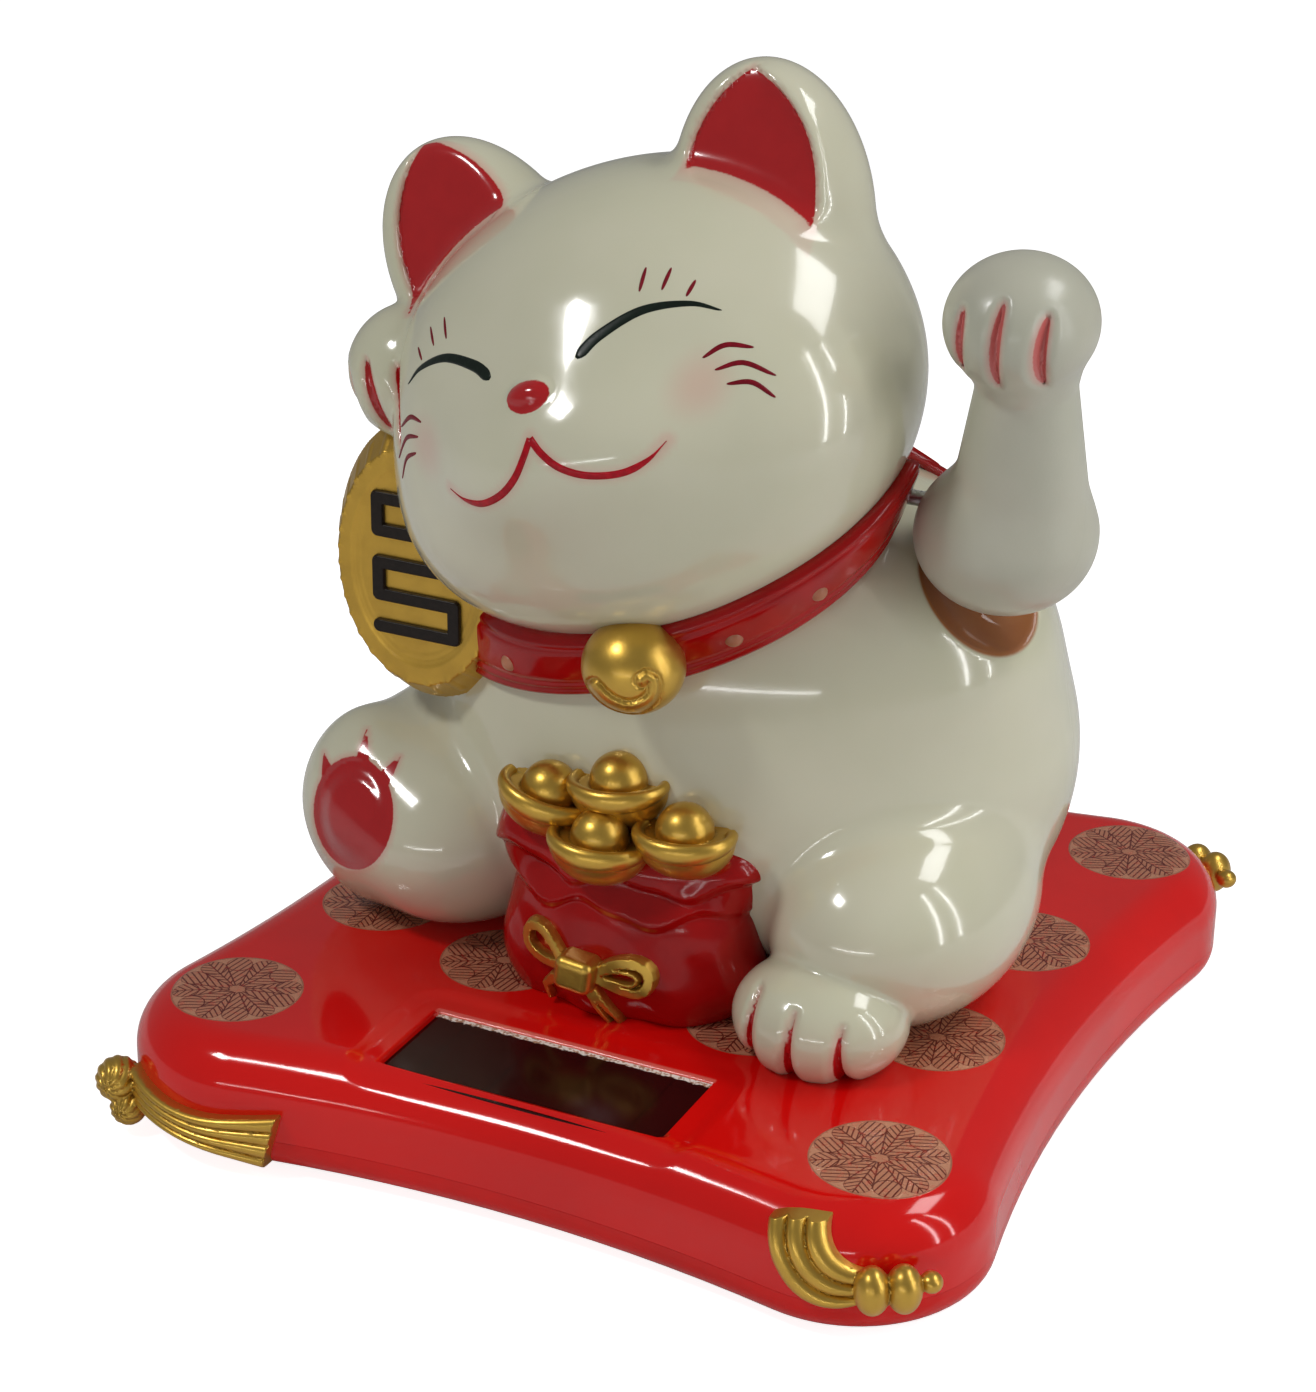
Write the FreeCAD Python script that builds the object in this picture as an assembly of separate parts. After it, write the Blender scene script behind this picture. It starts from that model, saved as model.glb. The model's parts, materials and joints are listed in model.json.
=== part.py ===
"""Solar-powered beckoning cat on a cushion base: hollow plastic shells around a pendulum drive.

Frame: origin at the centre of the footprint on the table, +Z up, the cat faces -Y. Millimetres.
The raised left arm (+X side) swings on a steel axle. A lever inside the body carries a magnet
over a coil in the base, and a solar cell in the cushion feeds the coil through a small board.
"""

import FreeCAD
import Part
import math
import os

Vec = FreeCAD.Vector

# ---- driving dimensions -------------------------------------------------------------------
WALL = 2.0                       # plastic shells
FEET_H = 1.0                     # rubber feet under the base
SEAM_Z = 5.5                     # joint between base cover and cushion shell
TOP_Z = 17.0                     # flat top of the cushion
HALF_X, HALF_Y = 59.5, 62.0      # cushion half sizes at its corners
WAIST_X, WAIST_Y = 55.5, 58.0    # cushion half sizes at the middle of each side
CORNER_R = 18.0
EDGE_R = 7.0                     # rounding of the cushion's upper edge
COVER_EDGE_R = 3.5

NECK = Vec(1.5, 0, 75.0)         # the head is laid out from here
HEAD_YAW, HEAD_TILT = 5.0, 20.0  # head turned and tipped to the cat's right
SHELL_SPLIT_Y = 15.0             # parting plane between front and rear body shells
FLOOR_Z = TOP_Z + WALL           # inside face of the body's floor

PIVOT = Vec(42.0, 0, 83.5)       # centre of the waving arm's shoulder; the axle runs along X
AXLE_R = 1.0
AXLE_X0, AXLE_X1 = -12.5, 44.0
RUNNING_GAP = 0.05
LEVER_X = -2.0                   # plane of the pendulum lever
LEVER_REACH = 61.5               # axle to magnet centre
LEVER_LEAN = 7.5                 # the lever hangs this far back, balancing the arm's forward lean
MAGNET_R, MAGNET_H = 5.0, 3.0
COIL_Y = PIVOT.y + LEVER_REACH * math.sin(math.radians(LEVER_LEAN))   # coil under the resting magnet
CUP_WALL = 1.0

WINDOW_X, WINDOW_Y = 39.5, 14.7  # opening over the solar cell
WINDOW_CY = -45.4
CELL_LIP = 1.8
CELL_T = 1.6
CELL_TOP = TOP_Z - 1.1

PILOT_R = 1.1                    # self-tapping screws
CLEAR_R = 1.4
SCREW_HEAD_R = 2.4
SCREW_HEAD_H = 1.7
POST_R = 3.2

PARTS = "parts"
os.makedirs(PARTS, exist_ok=True)


# ---- helpers ------------------------------------------------------------------------------
def save(node, *shapes):
    """Writes one node; several shapes stay separate solids in it."""
    solids = [s for shape in shapes for s in shape.Solids]
    out = solids[0] if len(solids) == 1 else Part.makeCompound(solids)
    out.exportStep(os.path.join(PARTS, node + ".step"))
    return out


def box(x0, x1, y0, y1, z0, z1):
    return Part.makeBox(x1 - x0, y1 - y0, z1 - z0, Vec(x0, y0, z0))


def cyl(r, h, base, axis=Vec(0, 0, 1)):
    return Part.makeCylinder(r, h, base, axis)


def fuse(shapes):
    """Joins shapes one at a time, which keeps curved volumes reliable."""
    whole = shapes[0]
    for shape in shapes[1:]:
        whole = whole.fuse(shape)
    return whole


def ellipsoid(centre, radii, rotation=None):
    """A unit sphere stretched to radii, turned, and moved to centre."""
    m = FreeCAD.Matrix()
    m.scale(*radii)
    shape = Part.makeSphere(1.0).transformGeometry(m)
    shape.Placement = FreeCAD.Placement(centre, rotation or FreeCAD.Rotation())
    return shape


def capsule(a, b, ra, rb):
    """Two balls joined by a cone that touches both, as one turned solid."""
    run = b - a
    length = run.Length
    s = (ra - rb) / length
    c = math.sqrt(1 - s * s)
    axis = Vec(0, 0, 1)
    ta, tb = Vec(ra * c, 0, ra * s), Vec(rb * c, 0, length + rb * s)
    half = (math.asin(s) + math.pi / 2) / 2           # half way along each end arc
    ma = Vec(ra * math.sin(half), 0, -ra * math.cos(half))
    half = (math.pi / 2 - math.asin(s)) / 2
    mb = Vec(rb * math.sin(half), 0, length + rb * math.cos(half))
    south, north = Vec(0, 0, -ra), Vec(0, 0, length + rb)
    edges = [Part.Arc(south, ma, ta).toShape(), Part.makeLine(ta, tb),
             Part.Arc(tb, mb, north).toShape(), Part.makeLine(north, south)]
    solid = Part.makeSolid(Part.Face(Part.Wire(edges)).revolve(Vec(0, 0, 0), axis, 360))
    solid.Placement = FreeCAD.Placement(a, FreeCAD.Rotation(axis, run))
    return solid


def mirrored(x):
    """The two signs of a pair placed either side of the middle plane."""
    return (-x, x)


def sweep(points, r):
    """A round wire along a smooth curve through points."""
    curve = Part.BSplineCurve()
    curve.interpolate(points)
    path = Part.Wire([curve.toShape()])
    start = curve.value(curve.FirstParameter)
    along = curve.tangent(curve.FirstParameter)[0]
    profile = Part.Wire([Part.makeCircle(r, start, along)])
    return path.makePipeShell([profile], True, False)


# ---- cushion base -------------------------------------------------------------------------
def side_arc_radius(waist, inset_corner, across):
    """Radius of the concave side arc that touches both corner arcs and passes the waist."""
    u = waist - inset_corner
    return (u * u + across * across - CORNER_R ** 2) / (2 * (CORNER_R - u))


def cushion_face(inset, z):
    """The pinched-square outline, drawn in by inset, as a face at height z."""
    cx, cy = HALF_X - CORNER_R, HALF_Y - CORNER_R
    rx = side_arc_radius(WAIST_X, cx, cy)
    ry = side_arc_radius(WAIST_Y, cy, cx)
    r = CORNER_R - inset
    to_x = math.atan2(cy, WAIST_X + rx - cx)      # direction from corner centre to side centre
    to_y = math.atan2(cx, WAIST_Y + ry - cy)
    edges = []
    for quarter in range(4):
        sx, sy = ((1, 1), (-1, 1), (-1, -1), (1, -1))[quarter]

        def corner(angle):
            return Vec(sx * (cx + r * math.cos(angle)), sy * (cy + r * math.sin(angle)), z)

        a0, a1 = -to_x, math.pi / 2 + to_y
        ends = (a0, a1) if sx * sy > 0 else (a1, a0)
        edges.append(Part.Arc(corner(ends[0]), corner((a0 + a1) / 2), corner(ends[1])).toShape())
        if sx == sy:                              # next comes the front or back side
            far = corner(a1)
            mid = Vec(0, sy * (WAIST_Y - inset), z)
            edges.append(Part.Arc(far, mid, Vec(-far.x, far.y, z)).toShape())
        else:
            far = corner(a0)
            mid = Vec(sx * (WAIST_X - inset), 0, z)
            edges.append(Part.Arc(far, mid, Vec(far.x, -far.y, z)).toShape())
    return Part.Face(Part.Wire(Part.__sortEdges__(edges)))


def slab(inset, z0, z1, round_z, radius):
    """The cushion outline between two heights, with the edge at round_z rounded."""
    body = cushion_face(inset, z0).extrude(Vec(0, 0, z1 - z0))
    rim = [e for e in body.Edges if all(abs(v.Z - round_z) < 1e-6 for v in e.Vertexes)]
    return body.makeFillet(radius, rim)


COVER_SCREWS = [(x, y) for x in mirrored(45.0) for y in mirrored(33.0)]
BODY_SCREWS = [(x, y) for x in mirrored(22.0) for y in (-2.0, 30.0)]
FEET = [(x, y) for x in mirrored(45.0) for y in mirrored(48.0)]
COVER_BOSS_R = 4.5
COUNTERBORE_R = SCREW_HEAD_R + 0.3
HEAD_SEAT_Z = 3.3
COIL_SEAT_Z = 8.0
COIL_H = 8.0
BOBBIN_R, BOBBIN_CORE_R = 9.0, 3.2
FLANGE_T = 1.0
BOARD_Z = 6.0
BOARD_T = 1.6
BOARD = (6.0, 40.0, -30.0, -8.0)                  # x0, x1, y0, y1


def cushion_outer():
    return slab(0, SEAM_Z, TOP_Z, TOP_Z, EDGE_R)


def base_top_shell():
    roof = TOP_Z - WALL
    shell = cushion_outer().cut(slab(WALL, SEAM_Z, roof, roof, EDGE_R - WALL))
    posts = [cyl(POST_R, roof - SEAM_Z + 0.5, Vec(x, y, SEAM_Z)) for x, y in COVER_SCREWS]
    shell = shell.fuse(posts)
    wx, wy = WINDOW_X / 2, WINDOW_Y / 2
    shell = shell.cut(box(-wx, wx, WINDOW_CY - wy, WINDOW_CY + wy, roof - 1, TOP_Z + 1))
    px, py = wx + CELL_LIP, wy + CELL_LIP
    shell = shell.cut(box(-px, px, WINDOW_CY - py, WINDOW_CY + py, roof - 1, CELL_TOP))
    shell = shell.cut(cyl(BOBBIN_R + 1, 4, Vec(LEVER_X, COIL_Y, roof - 1)))
    for x, y in COVER_SCREWS:
        shell = shell.cut(cyl(PILOT_R, 8.5, Vec(x, y, SEAM_Z)))
    for x, y in BODY_SCREWS:
        shell = shell.cut(cyl(CLEAR_R, WALL + 2, Vec(x, y, roof - 1)))
    return shell


def base_bottom_cover():
    floor = FEET_H + WALL
    cover = slab(0, FEET_H, SEAM_Z, FEET_H, COVER_EDGE_R)
    cover = cover.cut(slab(WALL, floor, SEAM_Z, floor, COVER_EDGE_R - WALL))
    bosses = [cyl(COVER_BOSS_R, SEAM_Z - FEET_H, Vec(x, y, FEET_H)) for x, y in COVER_SCREWS]
    bosses.append(cyl(5.0, COIL_SEAT_Z - FEET_H, Vec(LEVER_X, COIL_Y, FEET_H)))
    x0, x1, y0, y1 = BOARD
    for x in (x0 + 3, x1 - 3):
        for y in (y0 + 3, y1 - 3):
            bosses.append(cyl(2.0, BOARD_Z - FEET_H, Vec(x, y, FEET_H)))
    cover = cover.fuse(bosses)
    for x, y in COVER_SCREWS:
        cover = cover.cut(cyl(COUNTERBORE_R, HEAD_SEAT_Z - FEET_H, Vec(x, y, FEET_H)))
        cover = cover.cut(cyl(CLEAR_R, SEAM_Z, Vec(x, y, FEET_H)))
    return cover


def screw(x, y, seat_z, length):
    """A pan-head screw driven upwards, its head below seat_z, with a cross recess."""
    head = cyl(SCREW_HEAD_R, SCREW_HEAD_H, Vec(x, y, seat_z - SCREW_HEAD_H))
    shank = cyl(PILOT_R, length, Vec(x, y, seat_z))
    body = head.fuse(shank)
    half, slot_w, depth = 1.6, 0.4, 0.8
    z0 = seat_z - SCREW_HEAD_H
    cross = box(x - half, x + half, y - slot_w, y + slot_w, z0, z0 + depth)
    cross = cross.fuse(box(x - slot_w, x + slot_w, y - half, y + half, z0, z0 + depth))
    return body.cut(cross)


# ---- electrical parts ---------------------------------------------------------------------
def solar_cell():
    px, py = WINDOW_X / 2 + CELL_LIP - 0.2, WINDOW_Y / 2 + CELL_LIP - 0.2
    return box(-px, px, WINDOW_CY - py, WINDOW_CY + py, CELL_TOP - CELL_T, CELL_TOP)


def coil_bobbin():
    base = Vec(LEVER_X, COIL_Y, COIL_SEAT_Z)
    core = cyl(BOBBIN_CORE_R, COIL_H, base)
    lower = cyl(BOBBIN_R, FLANGE_T, base)
    upper = cyl(BOBBIN_R, FLANGE_T, base + Vec(0, 0, COIL_H - FLANGE_T))
    return fuse([core, lower, upper])


def coil_winding():
    base = Vec(LEVER_X, COIL_Y, COIL_SEAT_Z + FLANGE_T)
    h = COIL_H - 2 * FLANGE_T
    return cyl(BOBBIN_R - 0.8, h, base).cut(cyl(BOBBIN_CORE_R, h, base))


def circuit_board():
    x0, x1, y0, y1 = BOARD
    return box(x0, x1, y0, y1, BOARD_Z, BOARD_Z + BOARD_T)


def driver_chip():
    z = BOARD_Z + BOARD_T
    body = box(14, 19, -21, -17, z, z + 1.5)
    legs = [box(14.4 + 1.2 * i, 14.8 + 1.2 * i, -22, -16, z, z + 0.4) for i in range(4)]
    return body.fuse(legs)


def storage_capacitor():
    r = 3.15
    return cyl(r, 9, Vec(26, -19, BOARD_Z + BOARD_T + r), Vec(1, 0, 0))


def wire_pair(start, end, lift, spread):
    """Two insulated leads side by side from start to end, bowed up in the middle."""
    wires = []
    for side in mirrored(spread):
        a, b = start + Vec(side, 0, 0), end + Vec(side, 0, 0)
        mid = (a + b) * 0.5 + Vec(side, 0, lift)
        wires.append(sweep([a, mid, b], 0.45))
    return wires


# ---- cat body -----------------------------------------------------------------------------
HEAD_TURN = FreeCAD.Rotation(Vec(0, 0, 1), HEAD_YAW) * FreeCAD.Rotation(Vec(0, 1, 0), -HEAD_TILT)

# centre and radii of each rounded volume
TRUNK = [
    (Vec(0, 12, 43), (44.5, 37.0, 38.0)),
    (Vec(0, 8, 64), (36.0, 28.5, 20.0)),
    (Vec(30, 4, 32), (18.0, 25.0, 17.0)),        # left haunch
    (Vec(-30, 4, 32), (18.0, 25.0, 17.0)),       # right haunch
]
HEAD = [                                          # in the head's own axes
    (Vec(0, -4, 22), (34.5, 31.5, 27.5)),
    (Vec(0, -14, 9.5), (24.5, 20.0, 15.0)),      # muzzle and chin
    (Vec(16, -11, 12), (18.0, 20.0, 16.0)),      # cheeks
    (Vec(-16, -11, 12), (18.0, 20.0, 16.0)),
]
FOOT = (Vec(29, -26, 23.5), (11.5, 10.0, 8.5))
SOLE = (Vec(-41.5, -16, 33), (9.3, 8.0, 14.5))
HIP, ANKLE, LEG_R = Vec(-32, -2, 36), Vec(-40, -14, 33), (13.0, 12.0)
ELBOW, WRIST, ELBOW_R, WRIST_R = Vec(-30, 8, 60), Vec(-34, 4, 92), 12.0, 9.0
PALM, PAW, PALM_R, PAW_R = Vec(-34.2, 2, 92.4), Vec(-36, -13, 94), 8.7, 9.0
EAR_AT = Vec(20.5, 3.0, 39.0)
EAR_R = (12.6, 10.5, 17.5)
EAR_LEAN = 12.0
EAR_FACE = 4.5                   # the ear's flat front lies this far ahead of its centre


def head_at(p):
    """A point laid out in the head's own tilted axes, in the row frame."""
    return NECK + HEAD_TURN.multVec(p)


def swollen(volume, grow):
    centre, radii = volume
    return ellipsoid(centre, [r + grow for r in radii])


def trunk(grow):
    return [swollen(volume, grow) for volume in TRUNK]


def head(grow):
    return [ellipsoid(head_at(at), [r + grow for r in radii], HEAD_TURN) for at, radii in HEAD]


def ear(side):
    at = head_at(Vec(side * EAR_AT.x, EAR_AT.y, EAR_AT.z))
    turn = HEAD_TURN * FreeCAD.Rotation(Vec(0, 1, 0), side * EAR_LEAN)
    front = box(-30, 30, -40, -EAR_FACE, -40, 40)
    front.Placement = FreeCAD.Placement(at, turn)
    return ellipsoid(at, EAR_R, turn).cut(front)


def limbs(grow):
    """Right leg with its raised sole, and the arm that holds the coin."""
    return [
        capsule(HIP, ANKLE, LEG_R[0] + grow, LEG_R[1] + grow),
        swollen(SOLE, grow),
        capsule(ELBOW, WRIST, ELBOW_R + grow, WRIST_R + grow),
        capsule(PALM, PAW, PALM_R + grow, PAW_R + grow),
    ]


def above(z, shapes):
    return fuse(shapes).common(box(-90, 90, -90, 90, z, 200))


def cat_skin():
    """The closed outer form of the cat, sitting on the cushion."""
    return above(TOP_Z, trunk(0) + head(0) + [ear(-1), ear(1), swollen(FOOT, 0)] + limbs(0))


def shoulder_cup(grow):
    """The hollow that the waving arm's shoulder turns in."""
    return ellipsoid(PIVOT + Vec(1, 1, -1), [r + grow for r in (15.0, 15.0, 15.5)])


def cavity():
    """The room inside, with an open neck and a wall left round the shoulder cup."""
    neck = ellipsoid(Vec(-2, 2, 82), (18.0, 16.8, 12.0))
    room = above(FLOOR_Z, trunk(-WALL) + head(-WALL) + limbs(-WALL) + [neck])
    return room.cut(shoulder_cup(WALL))


BRACKET_Y = 15.0                 # back of the bracket plate
BRACKET_T = 2.0
BRACKET_SCREWS = [Vec(LEVER_X + side, BRACKET_Y, 74.0) for side in mirrored(7.0)]
SWING_SLOT = (9.0, 15.0)         # half sizes of the opening in the floor between coil and magnet


def body_shells(skin):
    """Front and rear shells: skin less the hollow, with posts for the screws."""
    back = Vec(0, 1, 0)
    shell = skin.cut(cavity())
    posts = [cyl(POST_R, 8, Vec(x, y, TOP_Z)) for x, y in BODY_SCREWS]
    posts += [cyl(2.6, 20, p, back).common(skin) for p in BRACKET_SCREWS]
    port = cyl(3.0, 20, Vec(PIVOT.x - 25, PIVOT.y, PIVOT.z), Vec(1, 0, 0))
    shell = shell.fuse(posts).cut([shoulder_cup(0), port])
    shell = shell.cut([cyl(PILOT_R, 7.5, Vec(x, y, TOP_Z)) for x, y in BODY_SCREWS])
    shell = shell.cut([cyl(PILOT_R, 7, p, back) for p in BRACKET_SCREWS])
    sx, sy = SWING_SLOT
    slot = box(LEVER_X - sx, LEVER_X + sx, COIL_Y - sy, COIL_Y + sy, TOP_Z - 1, FLOOR_Z + 1)
    shell = shell.cut(slot)
    split = box(-95, 95, SHELL_SPLIT_Y, 95, 0, 200)
    return shell.cut(split), shell.common(split)


# ---- drive --------------------------------------------------------------------------------
AXIS = Vec(1, 0, 0)
LUG_T = 3.0
HUB_R, HUB_W = 3.5, 8.0
LUG_PLAY = 0.3
LUG_X = (LEVER_X - HUB_W / 2 - LUG_PLAY - LUG_T, LEVER_X + HUB_W / 2 + LUG_PLAY)


def on_axle(x):
    return Vec(x, PIVOT.y, PIVOT.z)


def pivot_bracket():
    y0 = BRACKET_Y - BRACKET_T
    pieces = [box(LEVER_X - 10, LEVER_X + 10, y0, BRACKET_Y, 70, 86)]
    for x in LUG_X:
        pieces.append(box(x, x + LUG_T, PIVOT.y, y0 + 0.5, PIVOT.z - 4, PIVOT.z + 2))
        pieces.append(cyl(4.0, LUG_T, on_axle(x), AXIS))
    bracket = fuse(pieces).cut(cyl(AXLE_R + RUNNING_GAP, 60, on_axle(-30), AXIS))
    return bracket.cut([cyl(CLEAR_R, 6, p - Vec(0, 4, 0), Vec(0, 1, 0)) for p in BRACKET_SCREWS])


def bracket_screw(p):
    seat = p - Vec(0, BRACKET_T, 0)
    head = cyl(SCREW_HEAD_R - 0.2, 1.5, seat - Vec(0, 1.5, 0), Vec(0, 1, 0))
    return head.fuse(cyl(PILOT_R, 7.5, seat, Vec(0, 1, 0)))


def axle():
    return cyl(AXLE_R, AXLE_X1 - AXLE_X0, on_axle(AXLE_X0), AXIS)


def axle_clip():
    """A split push-on ring that keeps the axle's inner end outside the bracket."""
    x = LUG_X[0] - 1.2
    ring = cyl(2.6, 0.9, on_axle(x), AXIS).cut(cyl(AXLE_R, 2, on_axle(x - 0.5), AXIS))
    return ring.cut(box(x - 1, x + 2, -0.5, 0.5, PIVOT.z, PIVOT.z + 4))


def magnet_space(r, h):
    """A disc at the lever's end, with its lower face where the magnet's is."""
    disc = cyl(r, h, Vec(LEVER_X, PIVOT.y, PIVOT.z - LEVER_REACH - MAGNET_H / 2))
    disc.rotate(PIVOT, AXIS, LEVER_LEAN)
    return disc


def pendulum_lever():
    """Hub on the axle, a flat bar down to the magnet cup, all one moulding."""
    hub = cyl(HUB_R, HUB_W, on_axle(LEVER_X - HUB_W / 2), AXIS)
    bar_end = PIVOT.z - LEVER_REACH + MAGNET_H / 2
    bar = box(LEVER_X - 1, LEVER_X + 1, PIVOT.y - 2.2, PIVOT.y + 2.2, bar_end, PIVOT.z)
    bar.rotate(PIVOT, AXIS, LEVER_LEAN)
    lever = fuse([hub, bar, magnet_space(MAGNET_R + CUP_WALL, MAGNET_H + CUP_WALL)])
    return lever.cut([magnet_space(MAGNET_R, MAGNET_H), cyl(AXLE_R, 20, on_axle(LEVER_X - 10), AXIS)])


def magnet():
    return magnet_space(MAGNET_R, MAGNET_H)


SHOULDER_BALL = (Vec(-1, 0, 0), (11.8, 11.0, 11.5))   # offsets from the pivot
FORE_LOW, FORE_HIGH = Vec(0.5, -2, 6.5), Vec(2.5, -6.5, 22.5)
FORE_R = (8.6, 6.9)
WAVING_PAW = (Vec(2.3, -9, 29.5), (9.3, 10.0, 8.4))
ARM_SPLIT = 3.5                  # the joint of the two halves runs this far ahead of the axle
ARM_SPLIT_LEAN = 17.0


def arm_form(grow):
    volumes = [ellipsoid(PIVOT + at, [r + grow for r in radii])
               for at, radii in (SHOULDER_BALL, WAVING_PAW)]
    r0, r1 = [r + grow for r in FORE_R]
    return fuse(volumes + [capsule(PIVOT + FORE_LOW, PIVOT + FORE_HIGH, r0, r1)])


def arm_halves():
    """Front and rear halves of the hollow arm; the rear one carries the axle's boss."""
    outer = arm_form(0)
    boss = cyl(3.0, 18.0, on_axle(PIVOT.x - 12), AXIS).common(outer)
    web = box(PIVOT.x - 4, PIVOT.x + 4, 0, 30, PIVOT.z - 1, PIVOT.z + 1).common(outer)
    behind = box(-40, 40, 0, 60, -40, 60)
    lean = FreeCAD.Rotation(Vec(1, 0, 0), ARM_SPLIT_LEAN)
    behind.Placement = FreeCAD.Placement(PIVOT - Vec(0, ARM_SPLIT, 0), lean)
    hollow = outer.cut(arm_form(-WALL))
    rear = hollow.common(behind).fuse([boss, web])
    rear = rear.cut(cyl(AXLE_R, AXLE_X1 - 10, on_axle(10), AXIS))
    return hollow.cut(behind).cut(boss), rear


# ---- trim ---------------------------------------------------------------------------------
COLLAR_HALF_W = 3.4
COLLAR_T = 1.3
# a point in the strap's middle plane and that plane's normal, for its front and back runs
COLLAR_FRONT = (Vec(-20.5, -22, 59), Vec(-0.351, -0.405, 0.844))
COLLAR_BACK = (Vec(2.4, 22.2, 82.0), Vec(-0.07, 0.0, 1.0))
COLLAR_LEFT_X = -26.0            # behind the coin the strap tucks in beside the raised arm
COLLAR_SPLIT_Y = 4.0
COLLAR_CENTRE = Vec(3, 4, 81.3)
STUD_R = 1.1
STUDS = range(-128, -16, 16)     # directions round the neck, in degrees
BELL = (Vec(3.5, -29.0, 66.5), (6.6, 6.0, 6.0))
COIN_AT = Vec(-33, -17, 70)
COIN_R = (13.5, 19.5)
COIN_T = 4.2
COIN_RIM = 3.0
COIN_SINK = 0.8


def strap_slab(run, y0, y1):
    """Everything between the strap's two edges in one run."""
    at, normal = run
    slice_ = box(-90, 90, -90, 90, -COLLAR_HALF_W, COLLAR_HALF_W)
    slice_.Placement = FreeCAD.Placement(at, FreeCAD.Rotation(Vec(0, 0, 1), normal))
    return slice_.common(box(COLLAR_LEFT_X, 90, y0, y1, 0, 200))


def collar(skin):
    slabs = fuse([strap_slab(COLLAR_FRONT, -90, COLLAR_SPLIT_Y),
                  strap_slab(COLLAR_BACK, COLLAR_SPLIT_Y, 90)])
    hug = fuse(trunk(COLLAR_T) + head(COLLAR_T))
    return hug.common(slabs).cut([skin, shoulder_cup(0)])


def collar_studs(band, skin):
    """Small domes spaced along the strap's front run."""
    at, normal = COLLAR_FRONT
    across = Vec(0, 1, 0).cross(normal).normalize()
    along = normal.cross(across)
    studs = []
    for degrees in STUDS:
        a = math.radians(degrees)
        far = COLLAR_CENTRE + (across * math.cos(a) + along * math.sin(a)) * 60
        hits = Part.makeLine(COLLAR_CENTRE, far).common(band).Vertexes
        if not hits:
            continue
        outer = max(hits, key=lambda v: v.Point.distanceToPoint(COLLAR_CENTRE)).Point
        studs.append(Part.makeSphere(STUD_R, outer).cut([band, skin]))
    return studs


def upright_oval(x, z, rx, rz, y0, y1):
    """An oval plate standing in the XZ plane between two depths."""
    oval = Part.Ellipse(Vec(0, 0, 0), max(rx, rz), min(rx, rz)).toShape()
    solid = Part.Face(Part.Wire([oval])).extrude(Vec(0, 0, y1 - y0))
    long_side, short_side = (Vec(1, 0, 0), Vec(0, 0, -1)) if rx > rz else (Vec(0, 0, 1), Vec(1, 0, 0))
    turn = FreeCAD.Rotation(long_side, short_side, Vec(0, 1, 0), "XYZ")
    solid.Placement = FreeCAD.Placement(Vec(x, y0, z), turn)
    return solid


def gold_coin():
    y0, y1 = COIN_AT.y - COIN_T / 2, COIN_AT.y + COIN_T / 2
    rx, rz = COIN_R
    plate = upright_oval(COIN_AT.x, COIN_AT.z, rx, rz, y0, y1)
    sunken = upright_oval(COIN_AT.x, COIN_AT.z, rx - COIN_RIM, rz - COIN_RIM, y0 - 1, y0 + COIN_SINK)
    return plate.cut(sunken)


def coin_emblem():
    """A raised winding key ornament on the coin's sunken face."""
    y1 = COIN_AT.y - COIN_T / 2 + COIN_SINK
    step, t, reach, rows = 5.2, 1.4, 5.4, 4
    top = COIN_AT.z + step * (rows - 1) / 2
    bars = []
    for row in range(rows):
        z = top - row * step
        bars.append(box(COIN_AT.x - reach, COIN_AT.x + reach, y1 - 0.8, y1, z - t / 2, z + t / 2))
        if row < rows - 1:
            x = COIN_AT.x + (reach - t / 2) * (1 if row % 2 else -1)
            bars.append(box(x - t / 2, x + t / 2, y1 - 0.8, y1, z - step, z))
    return fuse(bars)


def money_bag(skin):
    lower = ellipsoid(Vec(0, -21, 20), (16.0, 10.5, 9.0))
    middle = ellipsoid(Vec(0, -20.5, 28), (17.5, 10.5, 10.5))
    mouth = ellipsoid(Vec(0, -20.5, 38), (18.0, 9.5, 5.5))
    return above(TOP_Z, [lower, middle, mouth]).cut(skin)


INGOTS = (Vec(-11.5, -26.5, 44.5), Vec(0.5, -25.5, 48), Vec(12, -27.5, 43), Vec(0.5, -30, 41.5))


def ingot(at):
    """A boat-shaped bar with a dome in its middle."""
    cap = box(at.x - 20, at.x + 20, -90, 0, at.z + 0.6, at.z + 20)
    boat = ellipsoid(at, (6.8, 4.6, 4.4)).cut(cap)
    return boat.fuse(ellipsoid(at + Vec(0, -0.4, 0.8), (3.8, 3.4, 3.8)))


def ingot_pile(taken):
    """Each bar is fitted round the ones before it."""
    pile = []
    for at in INGOTS:
        pile.append(ingot(at).cut(taken + pile))
    return pile


BOW_AT = Vec(-3.5, -31.5, 25)
BOW_Y = (-33.2, -28.0)
BOW_LOOP = (4.2, 2.5)
BOW_TAIL = (1.4, 6.5)


def bag_bow():
    """A square knot with an open loop and a tail on each side, laid on the bag."""
    y0, y1 = BOW_Y
    rx, rz = BOW_LOOP
    w, length = BOW_TAIL
    pieces = [box(BOW_AT.x - 2.4, BOW_AT.x + 2.4, y0 - 0.5, y1, BOW_AT.z - 2.1, BOW_AT.z + 2.1)]
    for side in mirrored(1.0):
        x, z = BOW_AT.x + side * 5.4, BOW_AT.z + 1.0
        loop = upright_oval(x, z, rx, rz, y0, y1)
        pieces.append(loop.cut(upright_oval(x, z, rx - 1.3, rz - 1.3, y0 - 1, y1 + 1)))
        tail = box(-w / 2, w / 2, 0.2, y1 - y0, -length, 0)
        lean = FreeCAD.Rotation(Vec(0, 1, 0), -side * 35)
        tail.Placement = FreeCAD.Placement(Vec(BOW_AT.x + side, y0, BOW_AT.z), lean)
        pieces.append(tail)
    return fuse(pieces)


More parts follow.
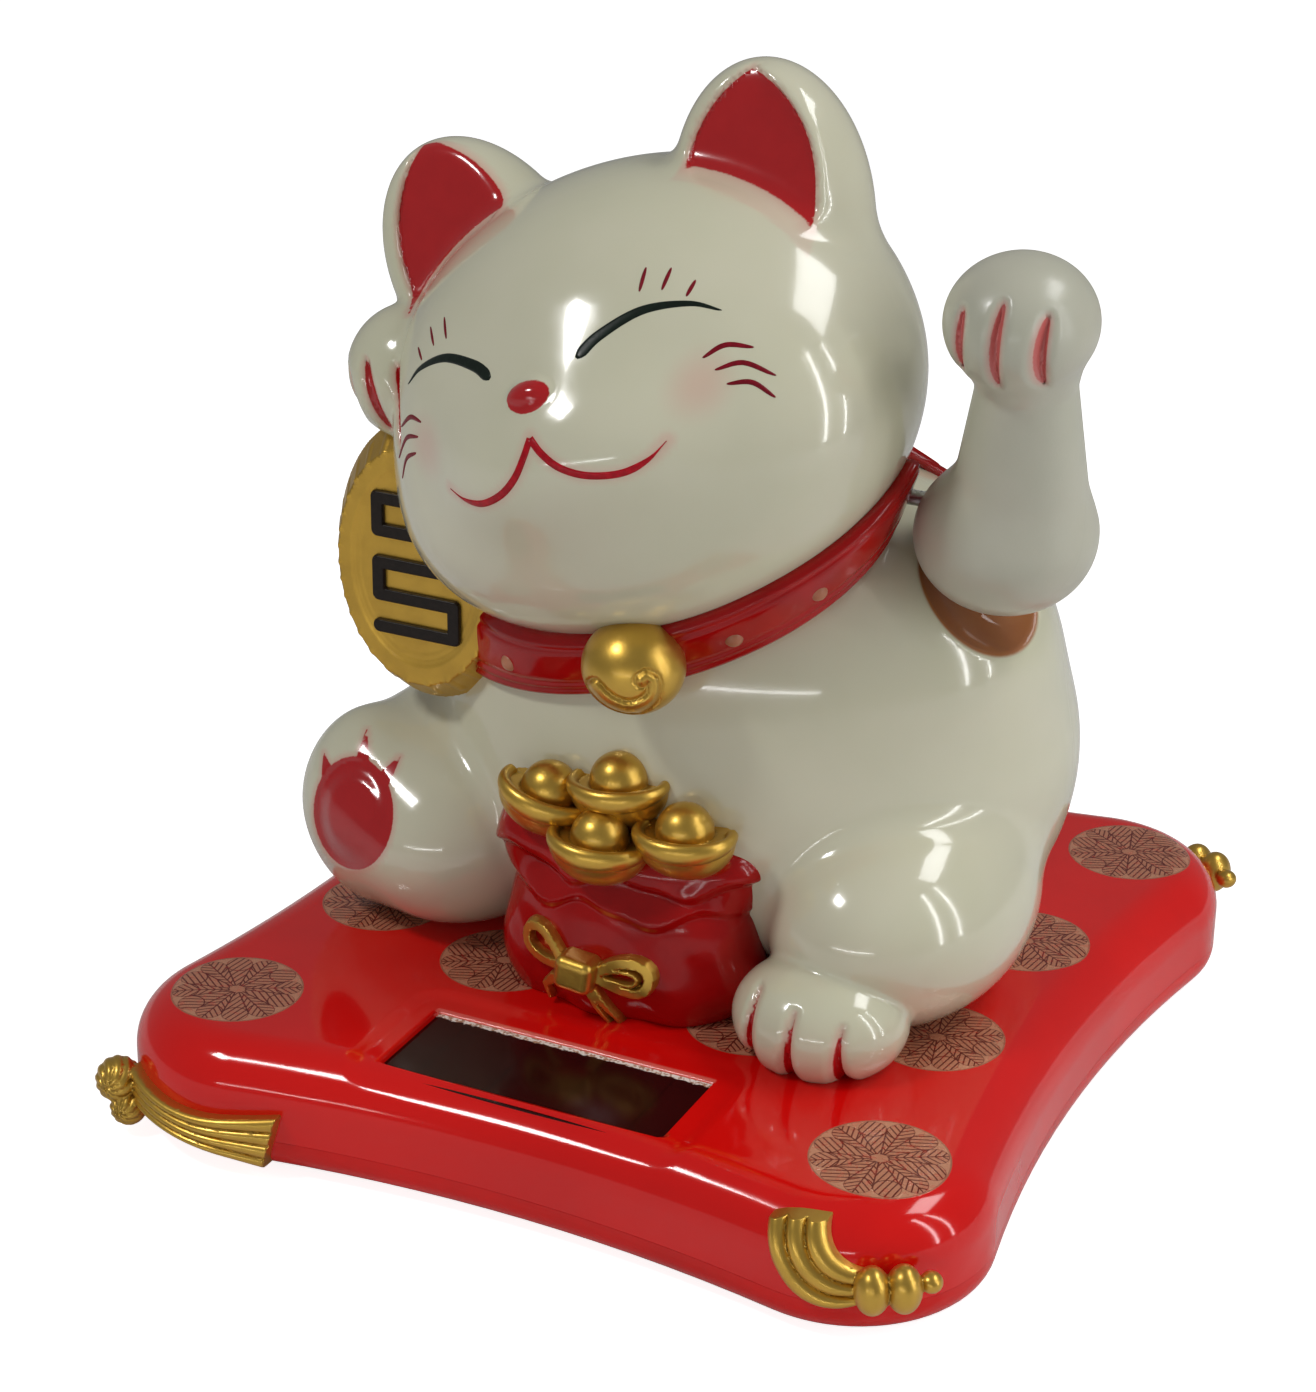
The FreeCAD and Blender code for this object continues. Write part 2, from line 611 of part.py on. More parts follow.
# ---- cushion tassels ----------------------------------------------------------------------
TASSEL_T = 1.9
TASSEL_X = 59.6                  # all four end at this distance from the middle plane
KNOT_Y = 60.0


def on_cushion(outline, y_in):
    """A relief on the cushion's front side with the given outline in X and Z."""
    face = Part.Face(Part.Wire(outline))
    block = face.extrude(Vec(0, y_in - face.BoundBox.YMin, 0))
    return block.common(slab(-TASSEL_T, FEET_H, TOP_Z + 1, TOP_Z + 1, EDGE_R + 1))


def arc_xz(*corners):
    a, b, c = [Vec(x, -75, z) for x, z in corners]
    return Part.Arc(a, b, c).toShape()


def line_xz(a, b):
    return Part.makeLine(Vec(a[0], -75, a[1]), Vec(b[0], -75, b[1]))


def straight_tassel():
    """Ball knot at the front right corner of the cat, its tail spread along the side."""
    r = 3.7
    knot = Vec(r - TASSEL_X, -KNOT_Y + 0.6, 6.2)
    balls = [Part.makeSphere(r, knot), Part.makeSphere(2.3, knot + Vec(2.0, 0, -3.2))]
    a, b, c, d = (-54.0, 8.6), (-31.5, 9.2), (-33.5, 1.6), (-54.0, 4.4)
    tail = on_cushion([arc_xz(a, (-43, 8.0), b), line_xz(b, c), arc_xz(c, (-44, 1.9), d), line_xz(d, a)], -57)
    return fuse(balls + [tail])


def curled_tassel():
    """Turned knot near the front left corner of the cat, its tail curling up over the edge."""
    tip = 1.7
    y, z = -KNOT_Y - 1.6, 9.6
    balls = [Part.makeSphere(r, Vec(x, y, z)) for x, r in ((51.2, 3.1), (55.0, 3.3))]
    balls.append(Part.makeSphere(tip, Vec(TASSEL_X - tip, y + 0.5, z + 0.4)))
    a, b, c, d = (49.0, 11.6), (45.2, 17.6), (38.3, 17.6), (49.0, 6.6)
    tail = on_cushion([arc_xz(a, (46.0, 12.8), b), line_xz(b, c), arc_xz(c, (41.0, 7.4), d), line_xz(d, a)], -56.5)
    return fuse(balls + [tail])


def to_back(shape):
    return shape.mirror(Vec(0, 0, 0), Vec(0, 1, 0))


# ---- build --------------------------------------------------------------------------------
def main():
    skin = cat_skin()
    cushion = cushion_outer().fuse(slab(0, FEET_H, SEAM_Z, FEET_H, COVER_EDGE_R))

    save("base_top_shell", base_top_shell())
    save("base_bottom_cover", base_bottom_cover())
    save("rubber_feet", *[cyl(5.0, FEET_H, Vec(x, y, 0)) for x, y in FEET])
    save("base_cover_screws", *[screw(x, y, HEAD_SEAT_Z, 9.5) for x, y in COVER_SCREWS])
    save("body_screws", *[screw(x, y, TOP_Z - WALL, 8.5) for x, y in BODY_SCREWS])

    cell, board, winding = solar_cell(), circuit_board(), coil_winding()
    save("solar_cell", cell)
    save("circuit_board", board)
    save("driver_chip", driver_chip())
    save("storage_capacitor", storage_capacitor())
    save("coil_bobbin", coil_bobbin())
    save("coil_winding", winding)
    board_top = BOARD_Z + BOARD_T
    cell_leads = wire_pair(Vec(12, -28, board_top + 0.2), Vec(12, -40, CELL_TOP - CELL_T), 1.0, 1.2)
    coil_end = Vec(LEVER_X + 4, COIL_Y - 6.5, COIL_SEAT_Z + COIL_H / 2)
    coil_leads = wire_pair(Vec(10, -12, board_top + 0.2), coil_end, 1.5, 1.2)
    save("solar_cell_leads", *[w.cut([board, cell]) for w in cell_leads])
    save("coil_leads", *[w.cut([board, winding]) for w in coil_leads])

    front, rear = body_shells(skin)
    save("body_front_shell", front)
    save("body_rear_shell", rear)

    save("pivot_bracket", pivot_bracket())
    save("bracket_screws", *[bracket_screw(p) for p in BRACKET_SCREWS])
    save("axle", axle())
    save("axle_clip", axle_clip())
    save("pendulum_lever", pendulum_lever())
    save("magnet", magnet())
    arm_front, arm_rear = arm_halves()
    save("arm_front_shell", arm_front)
    save("arm_rear_shell", arm_rear)

    coin = gold_coin().cut(skin)
    band = collar(skin).cut(coin)
    bell = swollen(BELL, 0).cut([skin, band])
    save("collar", band)
    save("collar_studs", *[s.cut([bell, coin]) for s in collar_studs(band, skin)])
    save("bell", bell)
    save("gold_coin", coin)
    save("coin_emblem", coin_emblem().cut([skin, coin]))

    bag = money_bag(skin)
    save("money_bag", bag)
    save("gold_ingots", *ingot_pile([bag, skin]))
    save("bag_bow", bag_bow().cut(bag))

    for side, tassel in (("left", straight_tassel()), ("right", curled_tassel())):
        save("tassel_front_" + side, tassel.cut(cushion))
        save("tassel_back_" + side, to_back(tassel).cut(cushion))


main()
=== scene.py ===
"""Looks of the solar beckoning cat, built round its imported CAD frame.

Rounded forms are described as signed distance fields in millimetres, in the row frame, and
turned into closed meshes. Painted lines are thin closed strips laid on those forms.
"""

import json
import math

import bmesh
import bpy
import numpy as np
from mathutils import Matrix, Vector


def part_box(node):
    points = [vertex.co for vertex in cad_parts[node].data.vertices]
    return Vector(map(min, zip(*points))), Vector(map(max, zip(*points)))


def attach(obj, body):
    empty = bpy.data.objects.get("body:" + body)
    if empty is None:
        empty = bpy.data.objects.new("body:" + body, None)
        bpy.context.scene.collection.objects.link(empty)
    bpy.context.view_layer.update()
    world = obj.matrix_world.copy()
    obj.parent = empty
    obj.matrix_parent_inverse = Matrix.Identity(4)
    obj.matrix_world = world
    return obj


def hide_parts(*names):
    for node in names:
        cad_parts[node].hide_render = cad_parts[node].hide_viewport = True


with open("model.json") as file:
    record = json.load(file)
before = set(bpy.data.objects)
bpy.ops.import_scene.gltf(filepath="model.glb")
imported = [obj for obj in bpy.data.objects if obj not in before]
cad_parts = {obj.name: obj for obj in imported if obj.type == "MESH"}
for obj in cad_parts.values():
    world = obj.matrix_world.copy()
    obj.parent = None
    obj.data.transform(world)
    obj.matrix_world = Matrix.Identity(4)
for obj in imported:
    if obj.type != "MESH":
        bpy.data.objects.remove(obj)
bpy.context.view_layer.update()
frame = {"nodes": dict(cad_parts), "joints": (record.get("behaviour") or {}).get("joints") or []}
MM = 0.001


# ---- driving places, read from the frame --------------------------------------------------
def cad_box(node):
    """Lowest and highest corner of a CAD node, in millimetres."""
    low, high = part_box(node)
    return np.array(low) / MM, np.array(high) / MM


def cad_centre(node):
    low, high = cad_box(node)
    return (low + high) / 2


PIVOT = np.array(frame["joints"][0]["pos_m"]) / MM
BASE_LOW, BASE_HIGH = cad_box("base_top_shell")
TOP_Z = BASE_HIGH[2]
SEAM_Z = BASE_LOW[2]
HALF_X, HALF_Y = BASE_HIGH[0], BASE_HIGH[1]
SPLIT_Y = cad_box("body_rear_shell")[0][1]
WALL = 2.0                        # thickness of every shell


# ---- signed distance shapes, in millimetres: negative inside ------------------------------
def length(v):
    return np.sqrt((v * v).sum(-1))


def ease(value, start, end):
    """0 before start and 1 after end, smooth between; start may exceed end."""
    t = np.clip((value - start) / (end - start), 0, 1)
    return t * t * (3 - 2 * t)


def turned(yaw, tilt=0.0, pitch=0.0):
    """Columns are the turned axes: tilt raises the +X side, pitch raises the back."""
    cy, sy = math.cos(math.radians(yaw)), math.sin(math.radians(yaw))
    ct, st = math.cos(math.radians(tilt)), math.sin(math.radians(tilt))
    cp, sp = math.cos(math.radians(pitch)), math.sin(math.radians(pitch))
    about_z = np.array([[cy, -sy, 0], [sy, cy, 0], [0, 0, 1]])
    about_y = np.array([[ct, 0, -st], [0, 1, 0], [st, 0, ct]])
    about_x = np.array([[1, 0, 0], [0, cp, -sp], [0, sp, cp]])
    return about_z @ about_y @ about_x


def ellipsoid(p, centre, radii, axes=None):
    q = p - np.asarray(centre, float)
    if axes is not None:
        q = q @ axes
    r = np.asarray(radii, float)
    k0, k1 = length(q / r), length(q / (r * r))
    return k0 * (k0 - 1.0) / np.maximum(k1, 1e-9)


def capsule(p, a, b, ra, rb):
    a, b = np.asarray(a, float), np.asarray(b, float)
    run = b - a
    t = np.clip(((p - a) @ run) / (run @ run), 0, 1)
    return length(p - a - t[:, None] * run) - (ra + (rb - ra) * t)


def chain(p, points, radius):
    """A cord through points, of one radius or of one for each point."""
    d = np.full(len(p), 99.0)
    radii = np.broadcast_to(radius, len(points))
    for a, b, ra, rb in zip(points, points[1:], radii, radii[1:]):
        d = np.minimum(d, capsule(p, a, b, ra, rb))
    return d


def oval(p, centre, radii):
    """Distance to an upright oval in the XZ plane."""
    q = (p[:, [0, 2]] - np.asarray(centre, float)) / np.asarray(radii, float)
    return (length(q) - 1) * min(radii)


def union(*fields):
    return np.minimum.reduce(fields)


def overlap(*fields):
    return np.maximum.reduce(fields)


def join(a, b, k):
    """Union with a fillet of size k."""
    h = np.clip(0.5 + 0.5 * (b - a) / k, 0, 1)
    return b + (a - b) * h - k * h * (1 - h)


def carve(a, b, k):
    """a with b taken away, the edge rounded by k."""
    return -join(-a, b, k)


def slit(p, ends, half_width, wedge=False):
    """Distance in the XZ plane to a slit: pointed at both ends, or a wedge widening downward."""
    a, b = np.asarray(ends, float)
    run = b - a
    q = p[:, [0, 2]]
    t = np.clip(((q - a) @ run) / (run @ run), 0, 1)
    width = t ** 0.7 if wedge else np.sqrt(4 * t * (1 - t))
    return length(q - a - t[:, None] * run) - half_width * width


# ---- the cat ------------------------------------------------------------------------------
HEAD_AXES = turned(5, 20)
NECK = np.array([1.5, 0.0, 75.0])
NOSE = (-1.2, 29.7)
NOSE_R = (2.8, 1.6)


def head_point(x, y, z):
    """A point laid out in the head's own axes, in the row frame."""
    return NECK + HEAD_AXES @ np.array([x, y, z], float)


HEAD_PARTS = [                    # centre in the head's axes, radii, fillet
    ((0, -15, 8.5), (23, 19, 13.5), 14),              # jaw
    ((16, -11, 16.4), (17, 19, 14.0), 9),             # left cheek
    ((-16, -11, 12.8), (17, 19, 14.0), 9),            # right cheek
    ((-0.8, -28.5, 21), (15, 12.5, 9), 8),            # muzzle
    ((NOSE[0], -35.9, NOSE[1]), (NOSE_R[0], 1.9, NOSE_R[1]), 1.0),
]


def head(p):
    d = ellipsoid(p, head_point(0, -4, 22), (34.5, 31.5, 27.5), HEAD_AXES)
    for centre, radii, fillet in HEAD_PARTS:
        d = join(d, ellipsoid(p, head_point(*centre), radii, HEAD_AXES), fillet)
    return d


EAR_AXES = turned(0, -12)
EAR_AT = {1: (20.5, 0.0, 38.0), -1: (19.5, 0.0, 39.0)}
EAR_R = (12.6, 13.0, 19.0)
EAR_FRONT, EAR_RAKE = 11.0, 0.38    # where the ear's flat front stands and how it leans back


def ear_local(p, side):
    q = (p - NECK) @ HEAD_AXES
    q[:, 0] *= side
    return (q - np.array(EAR_AT[side])) @ EAR_AXES


def ear_depth(q):
    """Distance behind the ear's raked front plane."""
    return (q[:, 1] + EAR_FRONT - EAR_RAKE * q[:, 2]) / math.hypot(1, EAR_RAKE)


def leaf(q, side):
    """Distance in the XZ plane to the pointed leaf, two arcs above a straight-sided foot."""
    middle, foot = (0.2, 4.8) if side == 1 else (-1.6, 5.6)
    off = np.stack([np.abs(q[:, 0] - middle) + 6.6, np.maximum(q[:, 2] - foot, 0)], 1)
    return length(off) - 15.0


def ear(p, side):
    q = ear_local(p, side)
    d = carve(ellipsoid(q, (0, 0, 0), EAR_R), ear_depth(q), 1.6)
    bowl = np.maximum(leaf(q, side), ear_depth(q) - 1.2)
    return carve(d, bowl, 1.2)


def ear_paint(p, side):
    """The red leaf inside the ear, ending where the brow begins."""
    q = ear_local(p, side)
    return overlap(leaf(q, side), np.abs(ear_depth(q)) - 2.2, -12 - q[:, 2], 0.45 - head(p))


FOOT_SLITS = [((22.9, 27.0), (22.5, 17.0)), ((28.9, 26.4), (28.5, 16.0)), ((34.9, 25.4), (34.7, 16.0))]
COIN_PAW_SLITS = [((-43.2, 95.0), (-41.4, 88.2)), ((-39.0, 97.2), (-36.4, 87.6)),
                  ((-34.2, 97.2), (-31.2, 88.4))]
WAVE_SLITS = [((-2.3, 30.6), (-2.9, 22.9)), ((2.8, 32.2), (2.1, 21.9)), ((7.7, 31.0), (7.0, 22.3))]
SLIT_W = 0.72
SOLE_AT = np.array([-39.8, -25.4, 35.0])
SOLE_AXES = turned(26, 0, -24)    # the raised foot's underside looks half right and upward
SOLE_R = (5.7, 7.6)
SPIKES = [((-3.6, 5.2), (-4.3, 8.0)), ((1.2, 7.0), (1.6, 11.2)), ((4.4, 5.0), (6.3, 7.7))]


def trunk(p):
    d = ellipsoid(p, (1.5, 12, 43), (45.5, 37, 38))
    d = join(d, ellipsoid(p, (4, 8, 62), (39.5, 28, 21)), 8)
    for x in (31.5, -31.5):
        d = join(d, ellipsoid(p, (x, -5, 30.5), (17, 24, 15.5)), 3)
    return d


def shoulder_cup(p):
    """The hollow that the waving arm's shoulder turns in."""
    return ellipsoid(p, PIVOT + (2.4, 0.5, -2.4), (15.0, 15.0, 16.5))


def crease(paint):
    """How deep the skin is pressed in near a slit: a soft shoulder, then a sharp groove."""
    return 0.45 * ease(paint, 1.6, 0.0) ** 2 + 0.75 * ease(paint, 0.25, -0.6)


def toe_slits(p, slits, half_width, front_y, wedge=False):
    """Distance to crimson slits between toes, only before a plane across Y."""
    lines = union(*(slit(p, ends, half_width, wedge) for ends in slits))
    return np.maximum(lines, p[:, 1] - front_y)


def claw_paint(p):
    """The slits of the foot and of the paw on the coin."""
    return union(toe_slits(p, FOOT_SLITS, SLIT_W, -24, True), toe_slits(p, COIN_PAW_SLITS, SLIT_W, -14))


def on_sole(p):
    """Places seen square on to the underside of the raised foot, from its middle."""
    return (p - SOLE_AT) @ SOLE_AXES


def sole_paint(p):
    """The pad and the three toe spikes above it."""
    q = on_sole(p)
    d = oval(q, (0, 0), SOLE_R)
    for base, tip in SPIKES:
        d = np.minimum(d, capsule(q * (1, 0, 1), (base[0], 0, base[1]), (tip[0], 0, tip[1]), 0.95, 0.08))
    return np.maximum(d, q[:, 1] - 7)


def skin(p):
    """Outer form of the cat without its waving arm."""
    crown = join(head(p), union(ear(p, 1), ear(p, -1)), 2.5)
    d = join(trunk(p), ellipsoid(p, (29, -26, 22.2), (11.5, 10.4, 8.0)), 1.0)
    leg = join(capsule(p, (-32, -2, 36), (-40, -14, 33), 13, 12),
               ellipsoid(p, (-41.6, -15.8, 32), (9.7, 9.0, 14.0)), 3)
    q = on_sole(p)
    sole = oval(q, (0, 0), SOLE_R)
    dent = ease(sole, 0.4, -0.9) - 0.8 * ease(sole, -1.1, -2.6)
    leg = leg + 0.7 * dent * (q[:, 1] < 7)
    d = join(d, leg, 4)
    arm = join(capsule(p, (-30, 8, 60), (-34, 4, 92), 12, 9),
               capsule(p, (-34, 4, 92), (-36, -13, 94), 9, 9), 5)
    d = join(join(d, arm, 4), crown, 1.0)
    d = d + crease(claw_paint(p))
    d = np.maximum(d, TOP_Z + 0.02 - p[:, 2])
    return carve(d, shoulder_cup(p), 0.8)


def body_shell(p):
    """The hollow body, with a port for the axle."""
    d = skin(p)
    d = np.maximum(d, -(d + WALL))
    port = capsule(p, (14, PIVOT[1], PIVOT[2]), (31, PIVOT[1], PIVOT[2]), 3, 3)
    return np.maximum(d, -port)


def wave_paint(p):
    """The slits of the waving paw."""
    return toe_slits(p - PIVOT, WAVE_SLITS, 0.8 * SLIT_W, -7)


def waving_arm(p):
    d = ellipsoid(p, PIVOT + (-1.5, 0, -2.8), (11.4, 11, 10.0))
    d = join(d, capsule(p, PIVOT + (0.6, -1, -0.5), PIVOT + (2.6, -6.5, 20.0), 9.2, 6.1), 3.0)
    d = join(d, ellipsoid(p, PIVOT + (2.3, -9, 27.8), (9.3, 10, 8.4)), 3.0)
    return d + crease(wave_paint(p))


def arm_shell(p):
    d = waving_arm(p)
    return np.maximum(d, -(d + WALL))


# ---- meshes from fields -------------------------------------------------------------------
BLOCK = 8


def sample(field, low, step, counts):
    """Field values on a grid; only blocks that the surface may pass through are sampled."""
    blocks = np.stack(np.meshgrid(*[np.arange(n) for n in counts], indexing="ij"), -1).reshape(-1, 3)
    centres = low + (blocks + 0.5) * BLOCK * step
    rough = field(centres)
    near = np.abs(rough) < 1.5 * BLOCK * step
    grid = np.empty((counts[0], BLOCK, counts[1], BLOCK, counts[2], BLOCK))
    i, j, k = blocks.T
    grid[i, :, j, :, k, :] = (np.sign(rough) * 1e3)[:, None, None, None]
    cell = np.stack(np.meshgrid(*[np.arange(BLOCK)] * 3, indexing="ij"), -1).reshape(-1, 3)
    active = blocks[near]
    for start in range(0, len(active), 400):
        some = active[start:start + 400]
        points = low + (some[:, None, :] * BLOCK + cell) * step
        values = field(points.reshape(-1, 3)).reshape(-1, BLOCK, BLOCK, BLOCK)
        i, j, k = some.T
        grid[i, :, j, :, k, :] = values
    return grid.reshape([n * BLOCK for n in counts])


def nets(grid):
    """Surface nets: one vertex per cell the surface crosses, one quad per crossed grid edge."""
    rings, points = [], []
    shape = np.array(grid.shape)
    for axis in range(3):
        ahead = np.roll(grid, -1, axis)
        crossed = (grid < 0) != (ahead < 0)
        at = np.argwhere(crossed)
        others = [(axis + 1) % 3, (axis + 2) % 3]
        keep = (at[:, axis] < shape[axis] - 1) & (at[:, others[0]] > 0) & (at[:, others[1]] > 0)
        at = at[keep]
        a, b = grid[tuple(at.T)], ahead[tuple(at.T)]
        point = at.astype(float)
        point[:, axis] += a / (a - b)
        ring = []
        for u, v in ((-1, -1), (0, -1), (0, 0), (-1, 0)):
            cell = at.copy()
            cell[:, others[0]] += u
            cell[:, others[1]] += v
            ring.append(np.ravel_multi_index(tuple(cell.T), shape))
        ring = np.stack(ring, 1)
        ring[a > 0] = ring[a > 0][:, ::-1]
        rings.append(ring)
        points.append(np.repeat(point, 4, 0))
    rings, points = np.concatenate(rings), np.concatenate(points)
    _, vertex = np.unique(rings.reshape(-1), return_inverse=True)
    vertex = vertex.reshape(-1)
    share = np.bincount(vertex)
    places = [np.bincount(vertex, points[:, axis]) / share for axis in range(3)]
    return np.stack(places, 1), vertex.reshape(-1, 4)


def slope(field, p, size=0.02):
    """Gradient of the field by forward differences, and the field itself."""
    here = field(p)
    ahead = [field(p + np.eye(3)[axis] * size) - here for axis in range(3)]
    return np.stack(ahead, 1) / size, here


def settle(field, p, rounds=2, reach=0.3):
    """Moves points onto the zero surface; returns them with unit outward normals."""
    for _ in range(rounds):
        g, here = slope(field, p)
        size = np.maximum((g * g).sum(1), 0.05)
        move = -g * (here / size)[:, None]
        far = np.maximum(length(move) / reach, 1.0)
        p = p + move / far[:, None]
    g, _ = slope(field, p)
    return p, g / np.maximum(length(g), 1e-9)[:, None]


def make_object(name, points, faces):
    """A smooth-shaded mesh object from points in millimetres."""
    mesh = bpy.data.meshes.new(name)
    sides = faces.shape[1]
    mesh.vertices.add(len(points))
    mesh.vertices.foreach_set("co", (points * MM).astype(np.float32).reshape(-1))
    mesh.loops.add(faces.size)
    mesh.loops.foreach_set("vertex_index", faces.astype(np.int32).reshape(-1))
    mesh.polygons.add(len(faces))
    mesh.polygons.foreach_set("loop_start", np.arange(0, faces.size, sides, dtype=np.int32))
    mesh.polygons.foreach_set("use_smooth", np.ones(len(faces), bool))
    mesh.update(calc_edges=True)
    mesh.validate()
    obj = bpy.data.objects.new(name, mesh)
    bpy.context.scene.collection.objects.link(obj)
    return obj


SEAM_GAP = 0.06


def cut_away(obj, place, direction):
    """Removes what lies behind a plane and closes the cut; returns the points that are left."""
    cutter = bmesh.new()
    cutter.from_mesh(obj.data)
    geometry = cutter.verts[:] + cutter.edges[:] + cutter.faces[:]
    start = (np.array(place) + np.array(direction) * SEAM_GAP / 2) * MM
    cut = bmesh.ops.bisect_plane(cutter, geom=geometry, plane_co=start, plane_no=direction,
                                 dist=1e-8, clear_inner=True)
    loops = [part for part in cut["geom_cut"] if isinstance(part, bmesh.types.BMEdge)]
    bmesh.ops.triangle_fill(cutter, use_beauty=False, use_dissolve=False, edges=loops)
    bmesh.ops.recalc_face_normals(cutter, faces=cutter.faces[:])
    cutter.to_mesh(obj.data)
    cutter.free()
    obj.data.shade_smooth()
    flat = np.empty(len(obj.data.vertices) * 3, np.float32)
    obj.data.vertices.foreach_get("co", flat)
    return flat.reshape(-1, 3) / MM


def solid(name, field, low, high, step, outer=None, axes=None, cut=None):
    """A closed mesh of everything inside the field; also returns its points.

    Points on the outer field take its normals. The grid may be laid out in turned axes, with
    low and high given in them. A cut is a plane (a point and a direction) that keeps the part
    in front of it.
    """
    axes = np.eye(3) if axes is None else axes
    step = step * 1.0
    low = np.array(low, float) - 2 * step
    counts = np.ceil((np.array(high) + 2 * step - low) / (BLOCK * step)).astype(int)
    points, faces = nets(sample(lambda p: field(p @ axes.T), low, step, counts))
    points, normals = settle(field, (low + points * step) @ axes.T, reach=0.6 * step)
    obj = make_object(name, points, faces)
    if cut is not None:
        points = cut_away(obj, *cut)
        _, normals = settle(field, points, 0)
    if outer is not None:
        near = np.abs(outer(points)) < 0.3 * step
        _, normals[near] = settle(outer, points[near], 0)
    obj.data.normals_split_custom_set_from_vertices(normals.astype(np.float32))
    return obj, points


def note(obj, name, values):
    """Stores one number per vertex for the materials to read."""
    attribute = obj.data.attributes.new(name, "FLOAT", "POINT")
    attribute.data.foreach_set("value", np.asarray(values, np.float32))


def place(obj, material, body, *stands_for, slot):
    """Gives a piece its material, its body and the CAD nodes it stands for."""
    obj.data.materials.append(material)
    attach(obj, body)
    if stands_for:
        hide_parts(*stands_for)
    return obj


# ---- node materials -----------------------------------------------------------------------
class Signal:
    """A value inside a node tree, so that sums of values read like sums."""

    def __init__(self, shader, socket):
        self.shader, self.socket = shader, socket

    def __add__(self, other):
        return self.shader.math("ADD", self, other)

    def __sub__(self, other):
        return self.shader.math("SUBTRACT", self, other)

    def __mul__(self, other):
        return self.shader.math("MULTIPLY", self, other)

    def __abs__(self):
        return self.shader.math("ABSOLUTE", self)


class Shader:
    """One procedural material. Places are in millimetres."""

    def __init__(self, name):
        self.material = bpy.data.materials.new(name)
        self.material.use_nodes = True
        self.tree = self.material.node_tree
        self.bsdf = self.tree.nodes["Principled BSDF"]
        coordinates = self.tree.nodes.new("ShaderNodeTexCoord")
        scale = self.node("ShaderNodeVectorMath", operation="SCALE")
        self.tree.links.new(coordinates.outputs["Object"], scale.inputs[0])
        scale.inputs["Scale"].default_value = 1 / MM
        self.place = scale.outputs[0]

    def node(self, kind, **settings):
        node = self.tree.nodes.new(kind)
        for key, value in settings.items():
            setattr(node, key, value)
        return node

    def feed(self, socket, value):
        if isinstance(value, Signal):
            self.tree.links.new(value.socket, socket)
        elif isinstance(value, tuple):
            socket.default_value = (*value, 1.0) if len(socket.default_value) == 4 else value
        else:
            socket.default_value = value

    def math(self, operation, *values):
        node = self.node("ShaderNodeMath", operation=operation)
        for socket, value in zip(node.inputs, values):
            self.feed(socket, value)
        return Signal(self, node.outputs[0])

    def most(self, first, *others):
        for other in others:
            first = self.math("MAXIMUM", first, other)
        return first

    def stripes(self, value, gap, edge, core):
        """Lines at every second gap: 0 farther than edge from a line, 1 nearer than core."""
        return self.ramp(self.math("PINGPONG", value, gap), edge, core)

    def number(self, name):
        """One of the per-vertex numbers stored by note()."""
        return Signal(self, self.node("ShaderNodeAttribute", attribute_name=name).outputs["Fac"])

    def xyz(self):
        node = self.node("ShaderNodeSeparateXYZ")
        self.tree.links.new(self.place, node.inputs[0])
        return [Signal(self, out) for out in node.outputs]

    def noise(self, size, detail=3.0):
        """Smooth noise from 0 to 1 whose lumps are about size millimetres across."""
        node = self.node("ShaderNodeTexNoise")
        self.tree.links.new(self.place, node.inputs["Vector"])
        node.inputs["Scale"].default_value = 1 / size
        node.inputs["Detail"].default_value = detail
        return Signal(self, node.outputs["Fac"])

    def ramp(self, value, start, end):
        """0 below start and 1 above end, smooth between them; start may exceed end."""
        node = self.node("ShaderNodeMapRange", interpolation_type="SMOOTHSTEP")
        low, high = (start, end) if start < end else (end, start)
        self.feed(node.inputs["Value"], value)
        node.inputs["From Min"].default_value = low
        node.inputs["From Max"].default_value = high
        node.inputs["To Min"].default_value = 0.0 if start < end else 1.0
        node.inputs["To Max"].default_value = 1.0 if start < end else 0.0
        return Signal(self, node.outputs["Result"])

    def mix(self, amount, a, b):
        node = self.node("ShaderNodeMix", data_type="RGBA")
        self.feed(node.inputs["Factor"], amount)
        self.feed(node.inputs[6], a)
        self.feed(node.inputs[7], b)
        return Signal(self, node.outputs[2])

    def hollows(self, low=0.42, high=0.5):
        """1 in tight hollows and 0 on open surfaces."""
        node = self.node("ShaderNodeNewGeometry")
        return self.ramp(Signal(self, node.outputs["Pointiness"]), high, low)

    def finish(self, colour, rough, metal=0.0, coat=0.0, coat_rough=0.05, glow=0.0, bump=None,
               depth=0.05, specular=0.5):
        """Sets the surface; depth is the bump's height in millimetres."""
        inputs = self.bsdf.inputs
        self.feed(inputs["Base Color"], colour)
        self.feed(inputs["Roughness"], rough)
        self.feed(inputs["Metallic"], metal)
        self.feed(inputs["Specular IOR Level"], specular)
        self.feed(inputs["Coat Weight"], coat)
        self.feed(inputs["Coat Roughness"], coat_rough)
        if glow:
            inputs["Subsurface Weight"].default_value = glow
            inputs["Subsurface Radius"].default_value = (1.0, 0.7, 0.5)
            inputs["Subsurface Scale"].default_value = 2.0 * MM
        if bump is not None:
            node = self.node("ShaderNodeBump")
            node.inputs["Strength"].default_value = 1.0
            node.inputs["Distance"].default_value = depth * MM
            self.feed(node.inputs["Height"], bump)
            self.tree.links.new(node.outputs["Normal"], inputs["Normal"])
        return self.material


